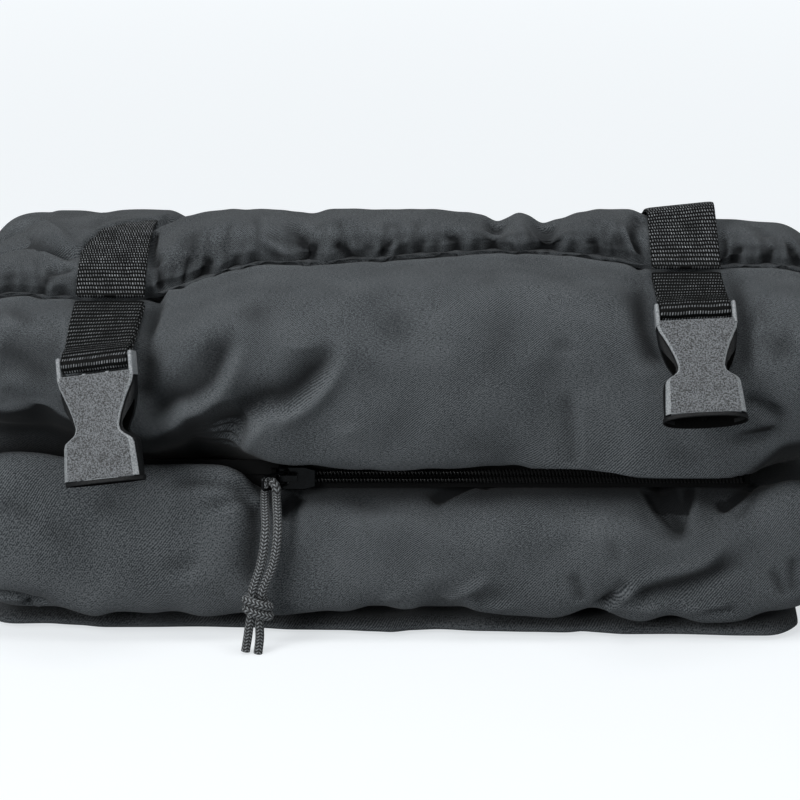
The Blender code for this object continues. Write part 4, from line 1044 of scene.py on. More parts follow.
# the cloth behind the band folds forward over the left strap
roll = {
    "edge": ((-158, -37), (-143, -38), (-130, -35), (-120, -33), (-117.5, -31), (-114.5, -20), (-109.5, -5),
             (-101, 8), (-93, 18), (-88, 26), (-82, 34), (-76, 44)),
    "top": ((-60, 128.0), (-40, 133.2), (-32.7, 135.1), (-20.8, 137.1), (-8.7, 138.5), (3.5, 138.3), (11.5, 137.5),
            (23.4, 136.4), (35.4, 135.1), (47.4, 133.6), (55.3, 131.2), (62, 127.0)),
    "turn": 0.0062,
    "hump": (0.0004, -0.1005, 0.0095),
    "saddle": (0.0010, -0.1160, 0.0050),
    "frontRise": (0.0012, -0.024, 0.012),
    "middleRise": (0.0013, 0.018, 0.012),
}


def foldOver(obj):
    co = meshPoints(obj.data)
    x, y, z = (co[:, k].copy() for k in range(3))
    top = straightAt(y, roll["top"])
    top = top - 0.014 * smoothStep(-x, 0.132, 0.160)
    top = top + hump(x, *roll["hump"]) * smoothStep(y, 0.006, 0.030)
    top = top - hump(x, *roll["saddle"]) * smoothStep(y, 0.030, 0.044)
    top = top + hump(y, *roll["frontRise"]) * smoothStep(-x, 0.118, 0.128)
    top = top + hump(y, *roll["middleRise"]) * bell(x, -0.1155, 0.006)
    edge = shiftAt(x, roll["edge"])
    t = np.clip((y - edge) / roll["turn"], 0, 1)
    share = np.sqrt(np.maximum(1 - (1 - t) ** 2, 0))
    share = share * fade(y, 0.050, 0.062) * smoothStep(-x, 0.078, 0.090)
    share = share * (1 - smoothStep(-x, 0.146, 0.153) * fade(z, 0.105, 0.128))
    lifted = z + np.maximum(top - z, 0) * share
    co[:, 2] = np.where((z > 0.105) & (meshNormals(obj.data)[:, 2] > 0.1), lifted, z)
    setMeshPoints(obj.data, co)


# height, place behind the seam and width, in metres, of its groove and of the puff in front; then
# the same for the painted shade in the groove and the painted light on the puff, and where the layer's front ends
# and its top begins
seam = {
    "groove": (0.0016, 0.0002, 0.0013),
    "puff": (0.0006, -0.0040, 0.0022),
    "dark": (0.9, 0.0006, 0.0012),
    "light": (0.25, -0.0035, 0.0020),
    "top": (0.105, 0.112),
}


def sewSeam(obj):
    # the seam pulls the cloth in, and the cloth puffs up just in front of it
    co = meshPoints(obj.data)
    normals = meshNormals(obj.data)
    away = co[:, 1] - seamY(co[:, 0])
    pull = hump(away, *seam["groove"]) - hump(away, *seam["puff"])
    co -= normals * (pull * smoothStep(co[:, 2], *seam["top"]))[:, None]
    setMeshPoints(obj.data, co)
    # painted shade along the groove, painted light on the puff
    shade = hump(away, *seam["dark"]) - hump(away, *seam["light"])
    paintShade(obj.data, shade * smoothStep(co[:, 2], *seam["top"]))


pinned = upperSquare[:, 2] > 0.99
pinned = pinned & (upperSquare[:, 1] > -0.75) & (upperSquare[:, 1] < 0.2) | (upperSquare[:, 2] < -0.99)
simulate(upperShell, np.where(pinned, 1.0, 0.0), growth=0.012, pressure=0.6, cap=0.0022)
subdivide(upperShell, levels=2)
loosen(upperShell, (((0.030, 0.030, 0.018), 0.0007, 1), ((0.012, 0.014, 0.010), 0.00022, 2)),
       lambda co: smoothStep(co[:, 2], 0.064, 0.080))
foldSurface(upperShell, upperFolds)
sewSeam(upperShell)
foldOver(upperShell)
foldSurface(upperShell, rollFolds)


def byLinings(co):
    # the points above and below the linings
    return (np.abs(co[:, 0]) < liningFree["x"]) & (co[:, 1] > liningFree["front"]) & (co[:, 1] < liningFree["back"])


def clearUnderside(obj):
    co = meshPoints(obj.data)
    underside = co[:, 2] < liningFree["reach"]
    co[:, 2] = np.where(byLinings(co) & underside, np.maximum(co[:, 2], liningFree["upper"]), co[:, 2])
    room = straightAt(co[:, 1], zipRoom)
    room = room + 0.0019 * bell(co[:, 0], 0.058, 0.016) * smoothStep(-co[:, 1], 0.074, 0.080)
    zipped = (co[:, 0] > -0.0990) & (co[:, 0] < 0.1285) & (co[:, 1] < -0.0600)
    co[:, 2] = np.where(zipped & underside, np.maximum(co[:, 2], room), co[:, 2])
    setMeshPoints(obj.data, co)


clearUnderside(upperShell)
points = meshPoints(upperShell.data)
under = -meshNormals(upperShell.data)[:, 2]
# painted shade on the cloth's undersides towards the ends and behind the front lip
atSides = np.maximum(smoothStep(-points[:, 0], 0.050, 0.075), smoothStep(points[:, 0], 0.115, 0.130))
behindLip = smoothStep(points[:, 1], -0.078, -0.071)
undersideShade = np.maximum(atSides * smoothStep(under, 0.25, 0.60), behindLip * smoothStep(under, 0.35, 0.75))
paintShade(upperShell.data, 1.2 * undersideShade * (points[:, 2] < 0.092))
stand(upperShell, "folded_bag", "twill", "upper_shell")
print("upper layer folded")

# lower layer

lowerFolds = (
    ((262, 490, 246, 489, 224, 485, 198, 482, 181, 485, 164, 492), 1.8, 2.0, 3.4, 0.2, 0.3, 0.0, 0.7),
    ((262, 500, 246, 499, 232, 500, 215, 506, 198, 513), 1.8, 2.0, 3.4, 0.2, 0.4, 0.0, 0.7),
    ((262, 500, 258, 522, 254, 552, 252, 580, 250, 600), 3.3, 4.0, 6.5, 0.1, 0.3, 0.0, 1.0),
    ((205, 557, 181, 566, 155, 571), 1.0, 3.5, 4.5, 0.4, 0.4, 0.4),
    ((120, 500, 108, 506, 92, 504), 1.2, 6.0, 6.0, 0.4, 0.4),
    ((34, 601, 20, 608, 6, 612, -6, 613), 3.3, 1.8, 2.4, 0.2, 0.1, 0.5),
    ((53, 602, 34, 600, 17, 596, 0, 595, -10, 595), 2.4, 1.6, 2.6, 0.2, 0.05, 0.8),
    ((280, 520, 288, 504, 296, 494), 2.1, 2.5, 4.0, 0.3, 0.1),
    ((432, 506, 446, 496, 464, 488, 479, 484), 2.7, 5.5, 1.8, 0.3, 0.1, 0.0, 0.5),
    ((478, 490, 491, 485, 508, 482), 1.4, 3.5, 1.6, 0.3, 0.2),
    ((493, 577, 480, 586, 464, 593, 446, 599), -1.8, 1.8, 2.5, 0.4, 0.1),
    ((510, 590, 490, 597, 470, 602), 1.5, 4.0, 4.0, 0.4, 0.2),
    ((530, 602, 509, 607, 487, 609), -0.9, 1.4, 1.8, 0.4, 0.2),
    ((404, 596, 392, 598, 382, 601), -1.0, 1.4, 2.0, 0.4, 0.2),
    ((664, 480, 669, 500, 675, 516, 681, 532, 684, 546), 4.2, 4.2, 5.5, 0.0, 0.35),
    ((646, 488, 656, 506, 668, 521, 680, 534), 1.8, 3.5, 1.6, 0.1, 0.3, 0.0, 0.5),
    ((692, 490, 688, 506, 683, 522, 681, 540), 2.2, 1.5, 3.4, 0.0, 0.3, 0.6),
    ((719, 500, 723, 508, 732, 502, 744, 492, 757, 483), 2.4, 4.5, 1.8, 0.1, 0.1),
    ((760, 486, 750, 500, 741, 512, 731, 525), 1.5, 2.5, 3.5, 0.3, 0.4),
    ((736, 534, 722, 549, 707, 564, 686, 572, 663, 577, 640, 587, 626, 595, 613, 603), -2.4, 2.2, 3.4, 0.3, 0.1),
    ((756, 562, 732, 566, 706, 578, 676, 588, 650, 593, 630, 600), 3.6, 4.0, 5.5, 0.3, 0.15),
    ((636, 580, 622, 591, 609, 601, 598, 609), 3.9, 1.4, 2.4, 0.35, 0.05, 1.3),
    ((740, 602, 716, 607, 694, 610, 678, 612), -1.4, 1.3, 1.8, 0.3, 0.15),
    ((741, 608, 718, 612, 700, 614), 1.5, 1.6, 2.2, 0.3, 0.3),
    ((609, 606, 636, 608, 668, 612), -1.0, 1.2, 1.8, 0.2, 0.3),
    ((572, 570, 579, 588, 583, 603), 1.7, 1.8, 3.2, 0.35, 0.1, 0.4),
    ((609, 534, 616, 551, 617, 573), 1.2, 2.5, 3.5, 0.4, 0.4),
    ((770, 567, 776, 577, 781, 588, 786, 600), 1.8, 1.8, 2.4, 0.3, 0.3, 0.5),
    ((797, 556, 794, 575, 795, 596), 1.8, 1.8, 3.0, 0.2, 0.2),
    ((40, 520, 62, 536, 84, 548), 0.9, 5.0, 6.0, 0.4, 0.4),
    ((0, 500, 22, 512, 40, 530), 1.0, 4.0, 5.0, 0.2, 0.4),
    ((340, 500, 372, 506, 404, 502), 0.8, 4.0, 5.0, 0.4, 0.4),
)
lowerShell, lowerSquare = gridPillow("lowerLayer", lowerForm, (60, 26, 14), (0.158, 0.083, 0.0265),
                                     materials["twill"])
pinned = np.abs(lowerSquare[:, 2]) > 0.99
simulate(lowerShell, np.where(pinned, 1.0, 0.0), growth=0.012, pressure=0.5, cap=0.0010)
subdivide(lowerShell, levels=2)
loosen(lowerShell, (((0.030, 0.030, 0.016), 0.0005, 4), ((0.012, 0.014, 0.009), 0.0002, 5)),
       lambda co: smoothStep(np.abs(co[:, 2] - 0.032), 0.027, 0.018))
foldSurface(lowerShell, lowerFolds)
lowerPoints = meshPoints(lowerShell.data)
# a shallow dent, where the cord hangs once the bail points at the front
cordDent = {"depth": 0.0022, "x": (-0.0268, 0.0065), "z": (0.0400, 0.0095), "front": -0.070}
dented = bell(lowerPoints[:, 0], *cordDent["x"]) * bell(lowerPoints[:, 2], *cordDent["z"])
lowerPoints[:, 1] += cordDent["depth"] * dented * (lowerPoints[:, 1] < cordDent["front"])
lowerHeight = lowerPoints[:, 2]
lowerPoints[:, 2] = np.where(byLinings(lowerPoints), np.minimum(lowerHeight, liningFree["lower"]), lowerHeight)
setMeshPoints(lowerShell.data, lowerPoints)
facingUp = smoothStep(meshNormals(lowerShell.data)[:, 2], 0.55, 0.90)
# painted shade in the crease between the layers, fading where the cloth turns away, and a painted highlight along
# the hem's rim
creaseShade = smoothStep(lowerPoints[:, 1], -0.076, -0.069) * (lowerPoints[:, 2] > 0.045)
creaseShade = creaseShade * (1 - smoothStep(lowerPoints[:, 1], -0.062, -0.050) * (1 - facingUp))
hemPlace = lowerPoints[:, 2] - lower["low"] - lower["hang"] * shiftAt(lowerPoints[:, 0], lowerHem)
hemLit = bell(hemPlace, 0.0018, 0.0010) * smoothStep(-lowerPoints[:, 1], 0.070, 0.074)
paintShade(lowerShell.data, 0.9 * creaseShade - 0.5 * hemLit)
stand(lowerShell, "folded_bag", "twill", "lower_shell")
print("lower layer folded")

# layer folded underneath

baseShell = gridPillow("baseLayer", baseForm, (100, 50, 4), (0.1495, 0.0755, 0.0024), materials["twill"])[0]
subdivide(baseShell, levels=1)
loosen(baseShell, (((0.022, 0.022, 0.010), 0.0003, 7),), lambda co: smoothStep(co[:, 2], 0.0006, 0.002))
# painted shade over the whole layer tucked underneath
paintShade(baseShell.data, np.full(len(baseShell.data.vertices), 0.3))
stand(baseShell, "folded_bag", "twill", "base_shell")
print("base layer made")

# gathered hem band

bandShell = gridPillow("hemBand", bandForm, (170, 34, 2), (0.1535, 0.0318, 0.0045), materials["twill"])[0]
subdivide(bandShell, levels=1)
bandFolds = (
    ((-6, 256, 14, 250, 38, 248, 58, 254, 76, 262), 2.6, 3.0, 1.6, 0.05, 0.2, 0.0, 0.8),
    ((60, 258, 52, 271, 45, 285, 42, 298), 2.4, 1.6, 3.0, 0.4, 0.0, 0.5),
    ((52, 273, 62, 270, 74, 265), 2.4, 3.2, 2.2, 0.3, 0.1, 0.5),
    ((6, 262, 8, 278, 9, 294), 1.8, 2.8, 2.8, 0.4, 0.0),
    ((28, 272, 26, 284, 24, 296), 1.1, 2.4, 2.4, 0.4, 0.0),
    ((62, 282, 64, 296), 1.6, 2.6, 2.6, 0.4, 0.0),
    ((168, 216, 156, 228, 151, 240, 151, 254, 158, 266), 4.2, 2.4, 3.4, 0.1, 0.2),
    ((152, 262, 158, 274, 163, 287), 3.0, 1.8, 2.2, 0.3, 0.0, 0.6, 0.6),
    ((176, 262, 173, 272, 172, 284), 1.9, 2.0, 2.4, 0.4, 0.0),
    ((193, 248, 190, 264, 187, 282), 3.0, 1.8, 3.0, 0.4, 0.0, 0.5),
    ((194, 224, 193, 236, 192, 254), 2.2, 1.8, 6.0, 0.3, 0.3),
    ((210, 254, 207, 266, 203, 278), 3.0, 2.6, 3.4, 0.3, 0.0, 0.8),
    ((238, 252, 236, 264, 236, 274), 2.3, 2.0, 2.6, 0.4, 0.0, 0.4),
    ((250, 250, 254, 259, 258, 268), 1.5, 1.8, 2.4, 0.4, 0.0),
    ((250, 231, 266, 240, 280, 248, 297, 260), -1.4, 1.5, 2.2, 0.3, 0.0),
    ((258, 244, 270, 252, 284, 261), 1.4, 1.8, 2.6, 0.4, 0.1),
    ((296, 217, 302, 228, 308, 238, 314, 248, 312, 262), 4.2, 2.2, 6.0, 0.3, 0.0, 0.8),
    ((336, 238, 343, 248, 352, 260), 3.0, 2.2, 3.0, 0.3, 0.0, 0.5),
    ((374, 242, 367, 250, 362, 259), 1.9, 2.2, 3.0, 0.4, 0.0),
    ((393, 236, 388, 246, 384, 257), 2.7, 1.3, 2.0, 0.4, 0.0, 0.7),
    ((406, 241, 404, 256), 1.9, 2.4, 2.8, 0.4, 0.0),
    ((424, 234, 421, 245, 420, 256), 2.4, 2.4, 3.0, 0.4, 0.0),
    ((438, 236, 435, 254), 1.4, 2.0, 2.4, 0.4, 0.0),
    ((450, 228, 456, 239, 458, 253), 3.5, 2.4, 3.6, 0.3, 0.0, 0.6),
    ((480, 236, 477, 252), 1.6, 2.0, 2.6, 0.4, 0.0),
    ((500, 214, 497, 226, 493, 238, 494, 252), 3.2, 3.0, 3.6, 0.1, 0.0),
    ((508, 242, 514, 253), 1.6, 1.3, 1.8, 0.4, 0.0, 0.6),
    ((543, 214, 548, 228, 547, 240, 543, 253), 2.7, 4.0, 4.8, 0.1, 0.0, 0.5),
    ((562, 234, 556, 244, 552, 254), 2.4, 2.4, 2.8, 0.4, 0.0),
    ((576, 238, 573, 254), 1.5, 2.0, 2.4, 0.4, 0.0),
    ((592, 236, 596, 246, 598, 255), 2.7, 2.2, 2.8, 0.3, 0.0, 0.4),
    ((612, 238, 614, 256), 2.2, 1.8, 2.4, 0.4, 0.0),
    ((617, 230, 621, 243, 626, 257), 1.6, 2.0, 2.6, 0.4, 0.0),
    ((620, 220, 626, 232, 632, 245, 640, 259), -2.2, 1.5, 2.0, 0.3, 0.0),
    ((648, 208, 638, 222, 635, 234, 641, 256), 4.2, 2.8, 3.0, 0.1, 0.0),
    ((724, 230, 723, 246, 720, 264), 3.0, 2.4, 2.6, 0.2, 0.0),
    ((740, 240, 737, 252, 735, 265), 3.0, 2.2, 2.6, 0.3, 0.0, 0.6),
    ((754, 238, 752, 252, 752, 265), 1.6, 2.0, 2.6, 0.4, 0.0),
    ((772, 238, 770, 252, 768, 267), 3.0, 2.2, 3.0, 0.3, 0.0, 0.5),
    ((790, 236, 794, 250, 797, 266), 3.2, 2.2, 2.6, 0.3, 0.0, 0.5),
    ((758, 224, 764, 232, 772, 238), 1.4, 2.6, 3.4, 0.2, 0.4),
)


gather = {
    "run": (-0.152, 0.155),
    "apart": (0.0035, 0.0080),
    "reach": (0.005, 0.016),
    "height": (0.0003, 0.0013),
    "lean": (-0.25, 0.25),
    "width": 0.0011,
    "spread": 0.10,
    "seamShade": (0.7, -0.0007, 0.0018),
    "fullShade": 0.0016,
    "sway": 0.0007,
    "swaySize": (0.016, 0.022, 0.022),
    "raised": (0.0002, 0.0015),
}


def gatherBand(obj):
    # small uneven gathers that fade out behind the seam, with painted shade along the seam and in each pleat
    co = meshPoints(obj.data)
    normals = meshNormals(obj.data)
    behind = co[:, 1] - seamY(co[:, 0])
    wave = np.zeros(len(co))
    shade = hump(behind, *gather["seamShade"])
    x, end = gather["run"]
    while x < end:
        apart, reach, height, lean = (random.uniform(*gather[key]) for key in ("apart", "reach", "height", "lean"))
        centre = x + lean * np.maximum(behind, 0)
        width = gather["width"] + gather["spread"] * np.clip(behind, 0, 0.02)
        pleat = bell(co[:, 0], centre, width) * fade(behind, reach * 0.4, reach)
        wave -= height * pleat
        shade += height / gather["fullShade"] * pleat
        x += apart
    wave += gather["sway"] * rippleNoise(co / np.array(gather["swaySize"]), 9) * smoothStep(behind, 0.002, 0.012)
    strap = nearStraps(co[:, 0], 0.0155)
    wave = wave * (1 - strap)
    under = layerTop(co[:, 0], np.maximum(co[:, 1], band["front"])) + band["lift"]
    raised = smoothStep(co[:, 2] - under, *gather["raised"])
    co += normals * (wave * raised)[:, None]
    setMeshPoints(obj.data, co)
    paintShade(obj.data, 0.6 * np.minimum(shade, 1.0) * (1 - strap))


gatherBand(bandShell)
foldSurface(bandShell, bandFolds)
relax(bandShell, rounds=3)
stand(bandShell, "folded_bag", "twill", "hem_band_shell")
print("hem band gathered")

# fillings, inset copies of the layers

for name, form, cells, scale, nodeName in (
    ("upperFilling", upperForm, (24, 14, 8), (0.955, 0.84, 0.78), "upper_insulation"),
    ("lowerFilling", lowerForm, (24, 14, 6), (0.955, 0.76, 0.66), "lower_insulation"),
    ("baseFilling", baseForm, (24, 14, 2), (0.95, 0.94, 0.40), "base_insulation"),
    ("bandFilling", bandForm, (30, 8, 2), (0.97, 0.60, 0.45), "hem_band_insulation"),
):
    filling, fillingSquare = gridPillow(name, form, cells, (0.15, 0.08, 0.03), materials["wadding"])
    a, b, c = (fillingSquare[:, k] for k in range(3))
    outer = meshPoints(filling.data)
    centre = np.stack(form(a, np.zeros_like(b), np.zeros_like(c)), axis=1)
    inner = centre + (outer - centre) * np.array(scale)
    inner[:, 0] = outer[:, 0] * scale[0]
    if name == "baseFilling":
        inner[:, 2] = 0.0024 + (outer[:, 2] - 0.0024) * 0.35
    if name == "bandFilling":
        top = layerTop(inner[:, 0], inner[:, 1]) + band["lift"]
        inner[:, 2] = top + 0.0002 + (c + 1) / 2 * 0.0005
    setMeshPoints(filling.data, inner)
    stand(filling, "folded_bag", "wadding", nodeName)
print("fillings placed")

# webbing straps

strapRoutes = {
    "left_short_strap": [
        (-105.4, -55.3, 121.1), (-106.0, -62.5, 118.8), (-106.6, -69.5, 116.0), (-107.2, -76.4, 113.1),
        (-107.6, -81.1, 111.4), (-108.3, -86.4, 110.7), (-108.4, -89.4, 109.6), (-108.5, -90.8, 108.2),
        (-108.1, -90.8, 106.2), (-107.5, -89.5, 104.9), (-107.0, -87.6, 105.0), (-107.1, -84.7, 106.3),
        (-107.0, -80.4, 109.5), (-106.5, -73.5, 112.5), (-105.9, -66.6, 115.4), (-105.4, -59.6, 118.0),
        (-105.0, -54.9, 119.5)],
    "right_short_strap": [
        (103.6, -55.4, 131.8), (104.0, -62.5, 129.6), (104.4, -67.3, 128.1), (104.7, -72.2, 126.9),
        (104.9, -77.5, 126.7), (104.9, -80.3, 125.9), (105.0, -81.8, 124.7), (105.1, -81.9, 122.8),
        (105.1, -80.7, 121.2), (105.1, -78.7, 121.1), (105.1, -76.0, 122.0), (104.7, -71.5, 124.8),
        (104.4, -66.8, 126.5), (104.1, -62.0, 128.0), (103.6, -54.8, 130.2)],
    "left_long_strap": [(-105.2, y, z) for y, z in (
        (-54.7, 123.2), (-48.0, 127.7), (-40.6, 131.3), (-32.7, 133.4), (-20.8, 135.5), (-8.7, 136.9),
        (3.5, 136.7), (11.5, 135.9), (23.4, 134.7), (35.4, 133.4), (47.4, 132.0), (55.3, 129.9), (62.9, 127.4),
        (70.6, 124.5), (77.2, 119.5), (83.2, 113.6), (87.3, 105.8), (88.3, 97.4), (88.3, 89.3), (89.4, 81.2),
        (91.4, 75.4), (91.6, 71.9), (90.8, 70.1), (89.0, 69.4), (87.2, 70.1), (86.5, 71.9), (86.6, 77.8),
        (86.6, 85.2), (86.6, 93.3), (86.3, 101.4))],
    "right_long_strap": [(103.6, y, z) for y, z in (
        (-54.8, 133.8), (-48.0, 138.4), (-40.5, 142.2), (-33.0, 145.4), (-25.0, 148.8), (-17.0, 148.6),
        (-5.0, 145.2), (11.2, 138.9), (30.3, 132.7), (49.4, 126.7), (64.7, 121.9), (76.3, 117.1), (83.1, 111.7),
        (87.0, 103.5), (88.2, 94.9), (90.6, 87.1), (91.4, 84.1), (91.6, 80.6), (90.8, 78.8), (89.0, 78.1),
        (87.2, 78.8), (86.5, 80.6), (86.6, 87.1), (86.5, 94.8), (85.4, 103.0), (81.8, 110.6))],
}
strapTwist = {
    "left_short_strap": Vector((0.952666, -0.246233, 0.178318)),
    "right_short_strap": Vector((0.99863, 0.033641, 0.040092)),
}


# how far a strap leans across its run, as rise per metre of width, by share of its length
strapLean = {
    "right_long_strap": ((0.0, 0.0), (0.08, 0.03), (0.16, 0.11), (0.24, 0.10), (0.34, 0.0), (1.0, 0.0)),
    "left_long_strap": ((0.0, 0.0), (0.06, 0.0), (0.16, 0.04), (0.26, 0.0), (1.0, 0.0)),
}


def makeStrap(node):
    # webbing along its route: raised ribs across it, and edges turned over a little
    path = smoothPath([Vector(p) / 1000 for p in strapRoutes[node]], webbing["step"])
    count = len(path)
    columns = webbing["columns"]
    last = strapTwist.get(node, Vector((1, 0, 0)))
    lengths = runLengths(path)
    turnAt = webbing["turnAt"]
    rings = []
    for i, point in enumerate(path):
        t = i / (count - 1)
        share = float(smoothStep(t, 0.0, turnAt) if t < turnAt else 1 - smoothStep(t, 1 - turnAt, 1.0))
        across = Vector((1, 0, 0)).lerp(last, share)
        across.z += float(throughValues(t, strapLean[node])) if node in strapLean else 0.0
        across.normalize()
        along = (path[min(i + 1, count - 1)] - path[max(i - 1, 0)]).normalized()
        normal = along.cross(across).normalized()
        rib = math.cos(2 * math.pi * lengths[i] / webbing["rib"])
        top, under = [], []
        for k in range(columns):
            s = k / (columns - 1) * 2 - 1
            edge = 1 - abs(s) ** webbing["edgePower"]
            half = webbing["thickness"] / 2 * (0.55 + 0.45 * edge) * (0.90 + 0.12 * rib)
            place = point + across * (s * webbing["width"] / 2)
            top.append(place + normal * half)
            under.append(place - normal * half)
        rings.append(top + under[::-1])
    marks = [k / (columns - 1) * webbing["width"] for k in range(columns)]
    side = webbing["thickness"]
    spans = [*zip(marks, marks[1:]), (marks[-1], marks[-1] + side), *zip(marks[::-1], marks[-2::-1]), (side, 0.0)]
    obj = skin(node.replace("_", "") + "Webbing", rings, spans, lengths, materials["webbing"])
    stand(obj, "folded_bag", "webbing", node)


for node in strapRoutes:
    makeStrap(node)
print("straps laid")

# buckles: two sockets in front, two plugs at the back

buckle = {"bar": 0.0015, "tip": 0.0026, "slot": 0.0038, "cheek": 0.0016, "plate": 0.0026, "edge": 0.00025}
# the hull by distance from the bar, in mm: half its width, its front and back faces, and how square
# its section is
socketHull = (
    (3.9, 13.8, -1.9, 2.9, 6.0), (4.5, 14.3, -2.2, 3.3, 6.0), (8.0, 14.3, -2.3, 3.4, 6.0),
    (12.0, 14.0, -2.5, 3.9, 6.0), (16.0, 13.1, -2.8, 4.3, 6.0), (20.0, 11.7, -3.1, 4.6, 6.0),
    (23.0, 10.0, -3.3, 4.8, 6.0), (24.6, 9.5, -3.5, 4.9, 6.0), (26.0, 10.2, -3.8, 5.0, 5.0),
    (27.4, 12.2, -4.2, 5.0, 4.5), (28.8, 13.6, -4.6, 5.0, 4.0), (31.0, 14.0, -4.8, 5.0, 3.4),
    (36.0, 14.3, -4.9, 5.0, 2.8), (41.7, 14.6, -4.9, 4.9, 2.4), (42.0, 15.1, -5.6, 5.5, 2.4),
    (43.2, 15.1, -5.6, 5.5, 2.3), (43.4, 14.9, -5.4, 5.3, 2.3),
)
# the raised face by distance from the bar, in mm: half its width, its height and its chamfer
socketFace = (
    (4.4, 14.3, 3.0, 0.9), (6.5, 14.3, 3.2, 0.9), (8.5, 13.8, 3.5, 0.9), (11.0, 12.6, 3.8, 0.8),
    (15.0, 10.8, 4.15, 0.7), (19.0, 9.3, 4.4, 0.6), (22.0, 8.5, 4.6, 0.6), (23.5, 8.2, 4.7, 0.6),
    (25.4, 8.7, 4.85, 0.7), (26.6, 10.0, 4.95, 0.9), (27.6, 11.6, 5.0, 1.1), (28.6, 12.8, 5.05, 1.3),
    (30.0, 13.3, 5.1, 1.5), (36.0, 13.8, 5.15, 1.7), (41.8, 14.2, 5.15, 1.8),
)
# the hollow by distance from the bar, in mm: half its width, half its height and how square it is
socketHollow = (
    (17.0, 6.4, 2.4, 4.0), (25.0, 6.8, 3.0, 4.0), (29.0, 11.6, 3.3, 3.2), (36.0, 13.0, 3.8, 2.7),
    (42.4, 14.2, 4.6, 2.3), (44.6, 14.6, 4.9, 2.3),
)


def turned(tilt, lean, yaw, bar):
    turn = Matrix.Rotation(-math.radians(tilt), 4, "X") @ Matrix.Rotation(-math.radians(lean), 4, "Y")
    return Matrix.Translation(bar) @ turn @ Matrix.Rotation(math.radians(yaw), 4, "Z")


sockets = {
    "left_socket": turned(20, 5, -17, (-0.1077, -0.0885, 0.1073)),
    "right_socket": turned(40, 3, 0, (0.1050, -0.0795, 0.1235)),
}


def loft(rings, sides=72):
    # rings of distance, half width, front, back and squareness, bridged and closed
    bm = bmesh.new()
    for away, halfX, front, back, power in rings:
        for vert in bmesh.ops.create_circle(bm, cap_ends=False, segments=sides, radius=1.0)["verts"]:
            c, s = vert.co.x, vert.co.y
            reach = (abs(c) ** power + abs(s) ** power) ** (-1 / power)
            vert.co = (mm(halfX * c * reach), mm((front + back) / 2 + (back - front) / 2 * s * reach), mm(-away))
    bmesh.ops.bridge_loops(bm, edges=bm.edges)
    closeUp(bm)
    return bm


def finer(stops, step):
    # the same profile with more stops between
    places, *columns = np.array(stops).T
    wanted = np.unique(np.concatenate([places, np.arange(places[0], places[-1], step)]))
    return np.stack([wanted] + [np.interp(wanted, places, column) for column in columns], axis=1)


def raisedFace(stops, thickness, bevel):
    # a grid cut to the outline, thickened, with its rim bevelled
    bm = bmesh.new()
    rows = finer(stops, 1.0)
    bmesh.ops.create_grid(bm, x_segments=8, y_segments=len(rows) - 1, size=1.0)
    for vert in bm.verts:
        away, half, tall, chamfer = rows[int(round((1 - vert.co.y) / 2 * (len(rows) - 1)))]
        if abs(vert.co.x) > 0.99:
            vert.co = (vert.co.x * mm(half), -mm(tall - 0.75 * chamfer), -mm(away))
        else:
            vert.co = (vert.co.x / 0.75 * mm(half - chamfer), -mm(tall), -mm(away))
    rim = [edge for edge in bm.edges if edge.is_boundary]
    thicken(bm, (0, thickness, 0))
    bmesh.ops.bevel(bm, geom=[edge for edge in rim if edge.is_valid], offset=bevel, segments=3, profile=0.5,
                    affect="EDGES", material=-1)
    return bm


def plainBlock(low, high, bevel):
    bm = bmesh.new()
    bmesh.ops.create_cube(bm, size=1.0)
    size = [h - l for l, h in zip(low, high)]
    bmesh.ops.scale(bm, vec=size, verts=bm.verts)
    bmesh.ops.translate(bm, vec=[(l + h) / 2 for l, h in zip(low, high)], verts=bm.verts)
    bmesh.ops.bevel(bm, geom=bm.edges[:], offset=bevel, segments=3, profile=0.5, affect="EDGES", material=-1)
    return bm


def barRod(reach, radius, sides=24):
    bm = bmesh.new()
    bmesh.ops.create_cone(bm, cap_ends=True, segments=sides, radius1=radius, radius2=radius, depth=2 * reach)
    bmesh.ops.rotate(bm, verts=bm.verts, cent=(0, 0, 0), matrix=Matrix.Rotation(math.pi / 2, 3, "Y"))
    return bm


def combine(obj, bm, operation):
    cutter = linkMesh("cutter", bm)
    modifier = obj.modifiers.new("cut", "BOOLEAN")
    modifier.operation = operation
    modifier.solver = "EXACT"
    modifier.object = cutter
    applyModifiers(obj)
    bpy.data.objects.remove(cutter, do_unlink=True)


# the teardrop opening in each side, between the two faces
window = {"x": 0.0070, "y": -0.0006, "half": 0.0029, "narrow": 0.45, "start": 14.6, "length": 11.8,
          "depth": 0.012}


def sideWindow(side):
    bm = bmesh.new()
    outline = bmesh.ops.create_circle(bm, cap_ends=True, segments=28, radius=1.0)["verts"]
    for vert in outline:
        t = (1 - vert.co.y) / 2
        width = window["half"] * (window["narrow"] + (1 - window["narrow"]) * t)
        vert.co = (side * window["x"], window["y"] + vert.co.x * width,
                   -mm(window["start"] + window["length"] * t))
    thicken(bm, (side * window["depth"], 0, 0))
    return bm


# where a socket's faces take the grain, the painted highlight, the painted shade or the near-black painted shade:
# places in mm, slopes as parts of a unit normal
finish = {"cheek": 12.6, "forward": 0.3, "flat": -0.93, "power": 2.3, "hollow": 0.88, "top": 4.0, "foot": 41.9}


